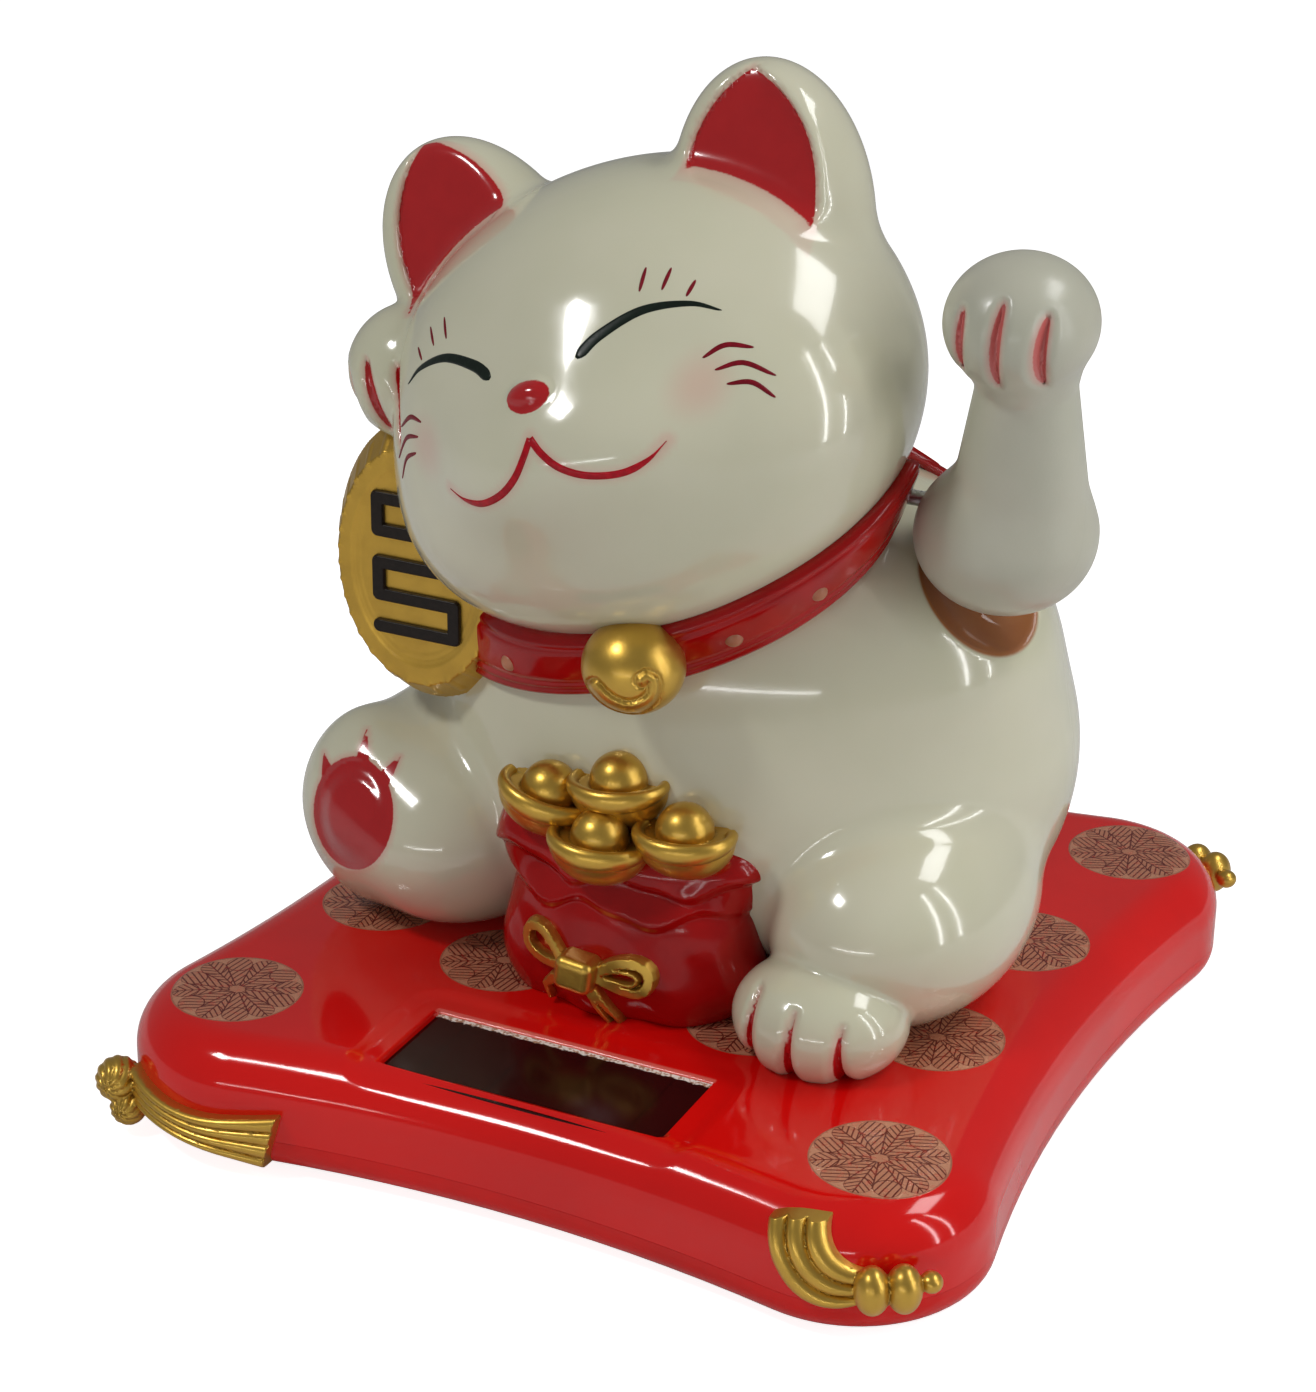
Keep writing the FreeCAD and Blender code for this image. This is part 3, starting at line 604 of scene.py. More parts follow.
# ---- cushion base -------------------------------------------------------------------------
CORNER_R, EDGE_R = 18.0, 7.0
WAIST_IN = 4.0                    # how far each side pulls in between its corners
WINDOW_CENTRE = cad_centre("solar_cell")
CELL_LIP = 1.6                    # the cell runs this far under the window's edge
WINDOW_HALF = (cad_box("solar_cell")[1] - WINDOW_CENTRE)[:2] - CELL_LIP
MEDAL_R = 8.7
MEDAL_ROWS = [(45.6, -46.1), (41.0, -15.6), (42.0, 14.4), (45.9, 46.8), (18.2, -23.0)]
MEDALS = np.array([(side * x, y) for x, y in MEDAL_ROWS for side in (1, -1)])


def side_arc(waist, corner, across):
    """Radius of the concave arc that touches both corner arcs and passes the waist."""
    u = waist - corner
    return (u * u + across * across - CORNER_R ** 2) / (2 * (CORNER_R - u))


def cushion_outline(p):
    """Distance to the pinched-square outline, seen from above."""
    x, y = np.abs(p[:, 0]), np.abs(p[:, 1])
    cx, cy = HALF_X - CORNER_R, HALF_Y - CORNER_R
    rx = side_arc(HALF_X - WAIST_IN, cx, cy)
    ry = side_arc(HALF_Y - WAIST_IN, cy, cx)
    far_x, far_y = HALF_X - WAIST_IN + rx, HALF_Y - WAIST_IN + ry
    corner = np.hypot(x - cx, y - cy) - CORNER_R
    side = rx - np.hypot(x - far_x, y)
    front = ry - np.hypot(x, y - far_y)
    in_side = (far_x - cx) * (y - cy) + cy * (x - cx) < 0
    in_front = (far_y - cy) * (x - cx) + cx * (y - cy) < 0
    both = np.where(in_front, np.maximum(side, front), side)
    return np.where(in_side, both, np.where(in_front, front, corner))


def rounded(outline, height, radius):
    """Closes an outline's distance with a rounded edge below height 0."""
    q, h = outline + radius, height + radius
    outside = np.hypot(np.maximum(q, 0), np.maximum(h, 0))
    return outside + np.minimum(np.maximum(q, h), 0) - radius


def window(p):
    """Distance to the oblong over the solar cell, seen from above."""
    q = np.abs(p[:, :2] - WINDOW_CENTRE[:2]) - WINDOW_HALF
    outside = length(np.maximum(q, 0))
    return outside + np.minimum(np.maximum(q[:, 0], q[:, 1]), 0)


def cushion(p):
    """The cushion's outer form; a shallow dish with soft edges surrounds the window."""
    dish = 0.45 * ease(window(p), 5.2, 2.2)
    return rounded(cushion_outline(p), p[:, 2] - TOP_Z + dish, EDGE_R)


def cushion_top(p):
    d = cushion(p)
    shell = np.maximum(d, -(d + WALL))
    coil = cad_centre("coil_bobbin")
    coil_hole = np.hypot(p[:, 0] - coil[0], p[:, 1] - coil[1]) - 10.0
    return np.maximum(shell, -np.minimum(window(p), coil_hole))


def nearest_medal(p):
    """Offsets from the nearest medallion's centre."""
    off = p[:, None, :2] - MEDALS[None]
    nearest = length(off).argmin(1)
    return off[np.arange(len(p)), nearest]


# ---- coin, bell and bag -------------------------------------------------------------------
COIN_LOW, COIN_HIGH = cad_box("gold_coin")
COIN_CENTRE = (COIN_LOW + COIN_HIGH) / 2
COIN_R = (COIN_HIGH - COIN_LOW)[[0, 2]] / 2
COIN_FRONT = COIN_LOW[1]
COIN_T = 4.2
COIN_TICKS = 32                   # raised ticks round the coin's sloping rim
EMBLEM_ROWS, EMBLEM_STEP = 5, 4.5
EMBLEM_REACH, EMBLEM_HALF_W = 5.6, 0.95


def coin(p):
    """An oval with sloping sides, a notched rim band and a sunken face."""
    flat = oval(p, COIN_CENTRE[[0, 2]], COIN_R - 0.4)
    depth = p[:, 1] - COIN_FRONT
    edge = flat + 1.3 - depth * 0.55
    d = overlap(edge * 0.876, -depth, depth - COIN_T)
    angle = np.arctan2(p[:, 2] - COIN_CENTRE[2], p[:, 0] - COIN_CENTRE[0])
    across = np.abs(np.mod(angle * COIN_TICKS / (2 * math.pi), 1) - 0.5)
    tick = 0.13 * ease(across, 0.24, 0.04) * ease(flat, -2.2, -1.2)
    groove = 0.16 * ease(np.abs(flat + 3.6), 0.7, 0.1)
    sunken = 0.35 * ease(flat, -3.4, -4.6)
    return d + (groove + sunken - tick) * ease(depth, 3.4, 2.6)


def emblem_strokes(p):
    """Distance in the XZ plane to the strokes of a winding key pattern."""
    corners = []
    for row in range(EMBLEM_ROWS):
        z = COIN_CENTRE[2] + EMBLEM_STEP * ((EMBLEM_ROWS - 1) / 2 - row)
        left, right = (COIN_CENTRE[0] + side * EMBLEM_REACH for side in (-1, 1))
        corners += [(left, 0, z), (right, 0, z)] if row % 2 else [(right, 0, z), (left, 0, z)]
    return chain(p * (1, 0, 1), corners, EMBLEM_HALF_W)


def coin_emblem(p):
    depth = p[:, 1] - COIN_FRONT
    d = emblem_strokes(p)
    return overlap(d + np.maximum(-depth, 0) * 0.6, -depth - 0.25, depth - 0.9)


BELL = cad_centre("bell")
BELL_R = (6.6, 6.2, 6.0)
BELL_AXES = turned(25, 0, -22)     # the bell's hook line faces half right and upward
BELL_HOOK = [(1.1, -1.6), (2.0, -1.1), (2.7, -2.0), (2.4, -3.6), (1.2, -4.6), (-0.7, -5.0), (-3.0, -4.1),
             (-4.8, -2.4)]


def bell(p):
    """A ball with a raised line hooked up at its lower right."""
    q = p - BELL
    d = ellipsoid(q, (0, 0, 0), BELL_R)
    faced = q @ BELL_AXES
    flat = faced * (1, 0, 1)
    hook = [(x, 0, z) for x, z in smooth_path(BELL_HOOK, 16)]
    line = np.minimum(chain(flat, hook, 0.1), 9.0)
    raised = 0.32 * ease(line, 0.55, 0.1) - 0.22 * ease(np.abs(line - 0.8), 0.35, 0.05)
    return d - raised * (faced[:, 1] < 0)


BAG_LOW, BAG_HIGH = cad_box("money_bag")
BAG_X = (BAG_LOW[0] + BAG_HIGH[0]) / 2
BAG_Y = -20.5
FOLDS = [(36.0, 0.85, 0.9), (32.0, 0.7, 2.4)]       # height, overhang and phase of each lip


BAG_PARTS = [                     # centre from the bag's middle, radii, fillet
    ((0, 0, 29.5), (17.0, 9.8, 9), 5),                # waist
    ((0, 0.5, 38), (17.4, 8.8, 5.2), 3),              # mouth
    ((13.8, 1, 36.8), (3.6, 5, 4.2), 2),              # the mouth's right lump
    ((-14, 0.5, 38.5), (4.6, 6, 6.5), 3),             # the mouth's left lump
]


def bag_form(p):
    """A soft sack: two wavy lips of gathered cloth over a full belly."""
    q = p - (BAG_X, BAG_Y, 0)
    d = ellipsoid(q, (0, -0.5, 21.5), (18.6, 10.5, 9.5))
    for centre, radii, fillet in BAG_PARTS:
        d = join(d, ellipsoid(q, centre, radii), fillet)
    x, _, z = q.T
    for height, overhang, phase in FOLDS:
        above = z - height - 0.9 * np.sin(x * 0.40 + phase) - 0.3 * np.sin(x * 0.8 + 2 * phase)
        d = d - overhang * ease(above, -0.9, 0.6) * ease(above, 5.0, 0.8)
    sag = 0.45 * np.sin(x * 0.55 + z * 0.25 + 1) * ease(z, 31, 22)
    return np.maximum(d + sag, TOP_Z + 0.02 - p[:, 2])


def bag(p):
    """The sack as it is stuck on: only the part outside the cat's skin."""
    return np.maximum(bag_form(p), -skin(p) - 1.0)


# centre and sideways lean in degrees
INGOTS = [((-9.9, -26.5, 44.6), -15), ((-0.1, -25.5, 47.4), 3), ((10.2, -27.5, 43.4), 1),
          ((-0.7, -30.0, 41.2), -4)]


def ingot(p, at, lean):
    """A boat with a thick band round its front rim and a dome in its middle."""
    q = (p - np.array(at)) @ turned(8, lean)
    x, y, z = q.T
    rim = (np.hypot(x / 6.5, y / 5.0) - 1) * 5.0
    thick = 0.3 + 0.85 * np.sqrt(np.clip(1 - (x / 7.0) ** 2, 0, 1))
    band = np.hypot((rim + 0.2) * 1.15, (z - 0.2 - 0.014 * x * x) * 0.76) - thick
    band = np.maximum(band, y - 1.5)
    hull = np.maximum(ellipsoid(q, (0, 0, 0.3), (6.6, 4.9, 5.4)), z - 0.8)
    return join(join(hull, band, 0.12), ellipsoid(q, (0, 0.1, 1.2), (3.8, 3.7, 3.8)), 0.15)


def teardrop(at, reach, rise, lean, count=20):
    """A closed loop that leaves its point and returns to it, in the XZ plane."""
    points = []
    for i in range(count + 1):
        a = 2 * math.pi * i / count
        along = reach * (1 - math.cos(a)) / 2
        across = rise * math.sin(a) * math.sin(a / 2)
        x = along * math.cos(lean) - across * math.sin(lean)
        z = along * math.sin(lean) + across * math.cos(lean)
        points.append((at[0] + x, at[1], at[2] + z))
    return points


BOW = np.array([-2.3, cad_box("bag_bow")[0][1] + 1.2, 24.0])
BOW_TAILS = [([(-1.5, -1.5), (-3.8, -2.2), (-5.4, -3.8), (-5.0, -6.0)], 1.1),
             ([(1.6, -1.8), (3.2, -3.8), (5.0, -6.2), (5.8, -8.4)], 0.75),
             ([(1.4, -2.0), (2.6, -4.6), (4.6, -8.0), (5.0, -10.2)], 0.6)]


def bow(p):
    """A tied ribbon lying on the bag: a barrel knot, two open loops and three tails."""
    flat = p.copy()
    flat[:, 1] = BOW[1]
    left = chain(flat, teardrop(BOW + (-2.2, 0, 0.6), 6.8, 2.6, math.radians(162)), 0.8)
    right = chain(flat, teardrop(BOW + (2.0, 0, -0.2), 8.0, 2.8, math.radians(7)), 0.8)
    inner = chain(flat, teardrop(BOW + (2.6, 0, -0.2), 5.8, 1.2, math.radians(7)), 0.4)
    lines = union(left, right, inner)
    for steps, radius in BOW_TAILS:
        points = [BOW + (u, 0, w) for u, w in steps]
        lines = np.minimum(lines, chain(flat, points, np.linspace(radius, radius * 0.35, len(steps))))
    on_bag = bag_form(p) - 1.3
    ribbon = overlap(lines * 0.9 + 0.25 * np.maximum(on_bag + 0.7, 0), on_bag, -on_bag - 2.6)
    knot = (p - BOW) @ turned(0, -6)
    barrel = length(np.maximum(np.abs(knot) - (1.5, 1.2, 1.2), 0)) - 1.15
    return join(ribbon, barrel, 0.2)


# ---- tassels ------------------------------------------------------------------------------
def twisted_ball(p, at, radius, turns=5.0):
    """A knot of cord: spiral grooves round a ball."""
    q = p - np.array(at)
    d = length(q) - radius
    swirl = np.sin(turns * np.arctan2(q[:, 0], q[:, 2]) + 1.4 * q[:, 1])
    return d + 0.22 * (1 - np.sqrt(np.maximum(1 - swirl * swirl, 0)))


def strands(across, count):
    """1 along the crest of each strand and 0 in the grooves between them."""
    return np.sqrt(np.abs(np.sin(math.pi * np.clip(across, 0.001, 0.999) * count)))


def straight_tassel(p):
    """Ball knot at the corner, its tail fanned out along the cushion's front side."""
    x, z = p[:, 0], p[:, 2]
    knot = twisted_ball(p, (-56.0, -59.0, 7.4), 3.1)
    knot = join(knot, twisted_ball(p, (-54.4, -59.4, 3.9), 2.5), 0.3)
    run = np.clip((x + 54.0) / 24.0, 0, 1)
    top = 9.6 + 0.2 * run - 1.6 * np.sin(math.pi * run)
    bottom = 5.0 - 3.8 * run + 0.4 * np.sin(math.pi * run)
    across = (z - bottom) / (top - bottom)
    outline = overlap(bottom - z, z - top, -54.0 - x, x + 30.4 + 0.28 * (9.0 - z))
    rise = 1.1 + 0.8 * strands(across, 4)
    return join(knot, overlap(outline, cushion_side(p) - rise, p[:, 1] + 52), 0.3)


def cushion_side(p):
    """The whole cushion, cover included."""
    upper = rounded(cushion_outline(p), p[:, 2] - TOP_Z, EDGE_R)
    lower = rounded(cushion_outline(p), 1.0 - p[:, 2], 3.5)
    return np.maximum(upper, lower)


CURL = (51.5, 17.0)               # centre of the curled tail's bend, in X and Z
BEADS = [((51.6, -62.2, 9.6), (2.2, 2.6, 3.1)), ((54.9, -60.4, 9.8), (2.2, 2.6, 3.1)),
         ((57.4, -58.2, 10.2), (1.4, 1.5, 1.3))]


def curled_tassel(p):
    """Two beads and a tip round the corner, their tail bending up to a broad cut end."""
    d = np.full(len(p), 9.0)
    for centre, radii in BEADS:
        d = join(d, ellipsoid(p, centre, radii, turned(32)), 0.15)
    off = p[:, [0, 2]] - CURL
    radius = length(off)
    run = np.degrees(np.arctan2(-off[:, 0], -off[:, 1])) / 84
    reach = np.clip(run, 0, 1)
    low, high = 6.2 + 0.6 * reach, 9.3 + 4.7 * np.sin(np.minimum(reach * 1.6, 1) * math.pi / 2)
    across = (radius - low) / (high - low)
    ends = np.maximum(-run, run - 1 + 0.10 * (across - 0.5) ** 2) * 10
    outline = overlap(low - radius, radius - high, ends)
    rise = 0.7 + 1.1 * strands(across, 3)
    return join(d, overlap(outline, cushion_side(p) - rise, p[:, 1] + 52), 0.3)


def to_back(field):
    """The same form mirrored to the back of the cushion, kept below its top edge."""
    return lambda p: np.maximum(field(p * (1, -1, 1)), p[:, 2] - TOP_Z + 3.5)


# ---- strips and strokes -------------------------------------------------------------------
def tube(name, rings):
    """A closed mesh through rings of points, with flat ends; each ring has an even count."""
    count, around = rings.shape[:2]
    index = np.arange(count * around).reshape(count, around)
    ahead = np.roll(index, -1, 1)
    sides = np.stack([index[:-1], index[1:], ahead[1:], ahead[:-1]], -1).reshape(-1, 4)
    half = around // 2
    caps = []
    for ring, flip in ((index[0], False), (index[-1], True)):
        for i in range(half - 1):
            quad = [ring[i], ring[i + 1], ring[around - 2 - i], ring[around - 1 - i]]
            caps.append(quad[::-1] if flip else quad)
    faces = np.concatenate([sides, np.array(caps)])
    return make_object(name, rings.reshape(-1, 3), faces)


def smooth_path(points, count):
    """A curve through a few points, evenly spaced."""
    points = np.array(points, float)
    padded = np.concatenate([2 * points[:1] - points[1:2], points, 2 * points[-1:] - points[-2:-1]])
    out = []
    for a, b, c, d in zip(padded, padded[1:], padded[2:], padded[3:]):
        for t in np.arange(0, 1, 1 / 24):
            out.append(0.5 * (2 * b + (c - a) * t + (2 * a - 5 * b + 4 * c - d) * t ** 2
                              + (3 * b - a - 3 * c + d) * t ** 3))
    out.append(points[-1])
    out = np.array(out)
    run = np.concatenate([[0], np.cumsum(length(np.diff(out, axis=0)))])
    even = np.linspace(0, run[-1], count)
    return np.stack([np.interp(even, run, out[:, axis]) for axis in range(out.shape[1])], 1)


def march(field, start, direction, rounds=60):
    """Moves points along a direction until they meet the field's surface."""
    p = start.copy()
    for _ in range(rounds):
        p = p + direction * field(p)[:, None] * 0.8
    return p


STROKE_RISE = 0.07


def stroke(name, field, centres, half_widths):
    """A thin closed strip of paint that follows the surface of a field."""
    _, normals = settle(field, centres, 1)
    along = np.gradient(centres, axis=0)
    sideways = np.cross(normals, along)
    sideways /= length(sideways)[:, None]
    top = []
    for u in (-1.0, -0.6, 0.0, 0.6, 1.0):
        p, n = settle(field, centres + sideways * (u * half_widths)[:, None], 2)
        rise = STROKE_RISE * (1 - u * u) + 0.012
        top.append(p + n * rise)
        low = p - n * 0.12
        if u == -1.0:
            first = low
    under = low
    rings = np.stack(top + [under, (first + under) / 2 - normals * 0.05, first], 1)
    return tube(name, rings)


# ---- colours and finishes -----------------------------------------------------------------
IVORY = (0.68, 0.66, 0.50)
CRIMSON = (0.42, 0.005, 0.008)
PINK = (0.72, 0.27, 0.24)
BASE_RED, BASE_SHADE = (0.82, 0.006, 0.004), (0.72, 0.004, 0.003)
# the second gold is the painted shade put into hollows
GOLD, HOLLOW_SHADE_GOLD = (0.68, 0.42, 0.07), (0.20, 0.09, 0.01)
# painted shade of the socket's inside, warmed orange by light through the shell
SOCKET_SHADE_BROWN = (0.30, 0.085, 0.015)


def ivory_plastic():
    """Glossy moulded plastic with sprayed crimson and pink, and painted shade inside the socket."""
    s = Shader("ivory_plastic")
    colour = s.mix(s.ramp(s.noise(26.0), 0.35, 0.7), IVORY, (0.64, 0.63, 0.46))
    colour = s.mix(s.number("blush") * 0.75, colour, PINK)
    edge = s.noise(0.5) * 0.16 - 0.08
    paint = s.ramp(s.number("paint") + edge, 0.09, -0.06)
    red = s.mix(s.noise(3.0), CRIMSON, (0.50, 0.008, 0.010))
    colour = s.mix(paint, colour, red)
    # painted shade: the socket's inside is coloured orange-brown as it looks in shadow, lit through the
    # shell
    inside = s.ramp(s.number("socket"), 0.5, 0.15)
    colour = s.mix(inside, colour, s.mix(s.noise(5.0), SOCKET_SHADE_BROWN, (0.44, 0.16, 0.03)))
    rough = s.ramp(s.noise(1.6, 4.0), 0.2, 0.9) * 0.05 + 0.13 + inside * 0.4
    ripple = s.noise(5.0, 1.0) + s.noise(0.35, 2.0) * 0.05
    return s.finish(colour, rough, coat=0.5, glow=0.06, bump=ripple, depth=0.035)


def satin_plastic():
    """The waving arm's plastic, less shiny than the body; its darker colour is painted shade."""
    s = Shader("satin_plastic")
    # painted shade: the arm's ivory is darker than the body's
    colour = s.mix(s.ramp(s.noise(14.0), 0.3, 0.7), (0.54, 0.53, 0.43), (0.50, 0.50, 0.40))
    paint = s.ramp(s.number("paint") + (s.noise(0.5) * 0.14 - 0.07), 0.08, -0.06)
    colour = s.mix(paint, colour, s.mix(s.noise(3.0), CRIMSON, (0.50, 0.008, 0.010)))
    colour = s.mix(s.number("blush") * 0.6, colour, PINK)
    rough = s.noise(1.2, 4.0) * 0.10 + 0.26
    return s.finish(colour, rough, coat=0.15, coat_rough=0.15, glow=0.06,
                    bump=s.noise(0.5, 4.0) * 0.4 + s.noise(6.0, 1.0), depth=0.03)


def gloss_paint(name, colour, shade, rough, size=7.0):
    """Thick glossy enamel with slight flow marks, and painted shade in its hollows."""
    s = Shader(name)
    mixed = s.mix(s.ramp(s.noise(size), 0.3, 0.75), colour, shade)
    # painted shade: hollows darkened towards a third of the shade colour
    mixed = s.mix(s.hollows() * 0.5, mixed, tuple(c * 0.35 for c in shade))
    finish = s.noise(2.2, 4.0) * 0.05 + rough
    return s.finish(mixed, finish, coat=0.15, bump=s.noise(3.5, 1.0) + s.noise(0.4) * 0.06,
                    depth=0.04, specular=0.28)


def gold_paint(name="gold_paint", colour=GOLD, shade=HOLLOW_SHADE_GOLD, rough=0.30):
    """Sprayed gold: fine flakes, with painted shade browning the hollows."""
    s = Shader(name)
    worn = s.ramp(s.noise(4.0, 4.0), 0.35, 0.75)
    mixed = s.mix(worn * 0.45, colour, tuple(c * 0.75 for c in colour))
    # painted shade: the hollows take the dark shade colour
    mixed = s.mix(s.hollows(0.40, 0.49), mixed, shade)
    flakes = s.noise(0.22, 2.0)
    finish = flakes * 0.16 + worn * 0.06 + rough - 0.06
    return s.finish(mixed, finish, metal=0.88, coat=0.25, coat_rough=0.15,
                    bump=flakes * 0.3 + s.noise(1.8, 2.0), depth=0.03)


def line_paint(name, colour):
    """Brushed-on enamel of the face lines."""
    s = Shader(name)
    mixed = s.mix(s.ramp(s.noise(0.8, 4.0), 0.35, 0.7), colour, tuple(c * 1.4 for c in colour))
    return s.finish(mixed, s.noise(0.6) * 0.1 + 0.25, coat=0.05, bump=s.noise(0.5), depth=0.02,
                    specular=0.2)


PETALS, HATCH_PER_MM = 12, 1.05
PETAL_REACH, PETAL_END_R = 6.75, 1.75        # middle and radius of each petal's rounded end


def cushion_plastic():
    """Red gloss plastic printed with copper flower medallions."""
    s = Shader("cushion_plastic")
    disc, foil, lines = medallion(s)
    red = s.mix(s.ramp(s.noise(30.0), 0.3, 0.7), BASE_RED, BASE_SHADE)
    rim_light = s.ramp(s.number("window_edge"), 0.55, 0.15)
    red = s.mix(rim_light * 0.55, red, (0.95, 0.25, 0.20))
    rough = s.noise(2.0, 4.0) * 0.04 + 0.08 + disc * 0.18
    bump = s.noise(9.0, 1.0) + s.noise(0.5, 2.0) * 0.03 + disc * (lines * -0.2 + 0.3)
    return s.finish(s.mix(disc, red, foil), rough, metal=disc * 0.2, coat=0.2, bump=bump,
                    specular=0.4)


def petals(s, x, y, radius):
    """Printed petal lines from 0 to 1, and where the petals are."""
    turn = s.math("ARCTAN2", y, x) * (PETALS / (2 * math.pi))
    petal = s.math("FLOOR", turn + 0.5)
    off = (turn - petal) * (2 * math.pi / PETALS)
    odd = s.math("FLOORED_MODULO", petal, 2.0)
    u, v = radius * s.math("COSINE", off), radius * s.math("SINE", off)
    flat_v = abs(v)
    end = s.math("SQRT", (u - PETAL_REACH) * (u - PETAL_REACH) + v * v)
    inside = s.most(s.ramp(end, PETAL_END_R + 0.06, PETAL_END_R - 0.06),
                    s.ramp(u, PETAL_REACH + 0.06, PETAL_REACH - 0.06))
    outline = s.ramp(abs(end - PETAL_END_R), 0.12, 0.05)
    border = s.ramp(abs(abs(off) - math.pi / PETALS) * radius, 0.14, 0.06)
    slanted, feathered = ((v + u * 0.75) * HATCH_PER_MM, (u - flat_v * 0.9) * HATCH_PER_MM)
    hatch = s.mix(odd, *(s.stripes(s.math("FRACT", h), 0.5, 0.17, 0.10) for h in (slanted, feathered)))
    rib = s.ramp(flat_v, 0.13, 0.06) * odd
    lines = s.most(hatch, border, outline * inside, rib)
    core = s.ramp(s.math("SQRT", x * x + y * y * 1.6), 1.15, 1.0)
    return lines * (core * -1.0 + 1.0), inside


def medallion(s):
    """Where the printed discs are, their colour and their petal lines."""
    radius = s.number("medal_r")
    lines, inside = petals(s, s.number("medal_x"), s.number("medal_y"), radius)
    wear = s.ramp(s.noise(0.9, 4.0), 0.30, 0.48)
    copper = s.mix(inside, (0.66, 0.30, 0.18), (0.60, 0.24, 0.14))
    foil = s.mix(lines * inside, copper, (0.14, 0.010, 0.005))
    rim = s.ramp(abs(radius - MEDAL_R + 0.1), 0.16, 0.06)
    foil = s.mix(rim * 0.6, foil, (0.30, 0.06, 0.03))
    disc = s.ramp(radius, MEDAL_R + 0.04, MEDAL_R - 0.04) * (wear * 0.25 + 0.75)
    return disc, foil, lines


def cell_glass():
    """Dark film cell: fine contact fingers, a few dividing lines and a frayed bright back edge."""
    s = Shader("cell_glass")
    x, y, _ = s.xyz()
    x, y = x - float(WINDOW_CENTRE[0]), y - float(WINDOW_CENTRE[1])
    panels = s.math("PINGPONG", x, WINDOW_HALF[0] / 2)
    divide = s.ramp(abs(panels - WINDOW_HALF[0] / 4), 0.22, 0.08)
    fingers = s.stripes(y, 0.45, 0.10, 0.03)
    dark = s.mix(s.noise(9.0), (0.014, 0.002, 0.002), (0.034, 0.004, 0.004))
    colour = s.mix(fingers * 0.3, dark, (0.05, 0.008, 0.006))
    colour = s.mix(divide * 0.6, colour, (0.006, 0.002, 0.002))
    frayed = s.ramp(y - float(WINDOW_HALF[1]) + s.noise(0.8, 5.0) * 1.1, -0.35, -0.1)
    bright = s.mix(s.ramp(s.noise(0.5, 3.0), 0.45, 0.6), (0.9, 0.86, 0.8), (0.45, 0.25, 0.15))
    colour = s.mix(frayed, colour, bright)
    return s.finish(colour, frayed * 0.3 + 0.16, bump=s.noise(6.0, 1.0), depth=0.03, specular=0.22)


def coin_gold():
    # the second colour is the painted shade in the coin's hollows
    return gold_paint("coin_gold", (0.66, 0.40, 0.06), (0.24, 0.11, 0.01), 0.36)


def moulded(name, colour, rough=0.45, grain=0.6, metal=0.0):
    """Plain moulded or machined stock for the inner works."""
    s = Shader(name)
    mixed = s.mix(s.ramp(s.noise(grain * 8, 4.0), 0.3, 0.7), colour, tuple(c * 0.78 for c in colour))
    return s.finish(mixed, s.noise(grain, 4.0) * 0.15 + rough, metal=metal,
                    bump=s.noise(grain * 0.5, 4.0), depth=0.03)


def board_material():
    """Green board with a lighter pattern of tracks."""
    s = Shader("green_board")
    x, y, _ = s.xyz()
    along = s.stripes(x + s.noise(14.0, 0.0) * 9.0, 1.2, 0.25, 0.15)
    across = s.stripes(y + s.noise(11.0, 0.0) * 7.0, 1.9, 0.25, 0.15)
    tracks = s.most(along, across)
    colour = s.mix(tracks, (0.010, 0.10, 0.03), (0.03, 0.22, 0.06))
    return s.finish(colour, s.noise(1.0) * 0.1 + 0.3, coat=0.4, bump=tracks, depth=0.04)


def wound_copper():
    """Turns of enamelled wire, stacked up the bobbin, with painted shade in the grooves between them."""
    s = Shader("wound_copper")
    _, _, z = s.xyz()
    turns = s.math("PINGPONG", z, 0.14)
    # painted shade: dark copper in the grooves between the turns
    colour = s.mix(s.ramp(turns, 0.0, 0.1), (0.20, 0.05, 0.02), (0.62, 0.22, 0.08))
    return s.finish(colour, s.noise(0.8) * 0.1 + 0.28, metal=0.9, bump=turns * 6.0, depth=0.08)


STEEL = (0.55, 0.55, 0.56)
BRACKET_PLASTIC = (0.72, 0.70, 0.62)
MOULDED_FINISHES = {              # material name, colour, roughness, grain in mm, metallic
    "rubber_feet": ("foot_rubber", (0.03, 0.03, 0.03), 0.7, 0.4),
    "base_cover_screws": ("screw_steel", STEEL, 0.28, 0.5, 1.0),
    "body_screws": ("body_screw_steel", STEEL, 0.28, 0.5, 1.0),
    "bracket_screws": ("bracket_screw_steel", STEEL, 0.28, 0.5, 1.0),
    "driver_chip": ("chip_black", (0.02, 0.02, 0.022), 0.4, 0.3),
    "storage_capacitor": ("capacitor_sleeve", (0.02, 0.03, 0.10), 0.3, 0.8),
    "coil_bobbin": ("bobbin_plastic", (0.70, 0.67, 0.58), 0.4),
    "solar_cell_leads": ("lead_red", (0.50, 0.02, 0.02), 0.35),
    "coil_leads": ("lead_white", (0.75, 0.75, 0.72), 0.35),
    "pivot_bracket": ("bracket_plastic", BRACKET_PLASTIC, 0.4),
    "axle": ("axle_steel", (0.62, 0.62, 0.63), 0.22, 0.8, 1.0),
    "axle_clip": ("clip_steel", (0.50, 0.50, 0.52), 0.3, 0.4, 1.0),
    "pendulum_lever": ("lever_plastic", BRACKET_PLASTIC, 0.4),
    "magnet": ("magnet_nickel", (0.66, 0.65, 0.62), 0.2, 0.7, 1.0),
}


def cad_finishes():
    """A material for each CAD node that stays visible."""
    finishes = {node: moulded(*look) for node, look in MOULDED_FINISHES.items()}
    finishes["base_bottom_cover"] = gloss_paint("cover_red", BASE_RED, (0.60, 0.008, 0.006), 0.14, 20.0)
    finishes["solar_cell"] = cell_glass()
    finishes["circuit_board"] = board_material()
    finishes["coil_winding"] = wound_copper()
    return finishes


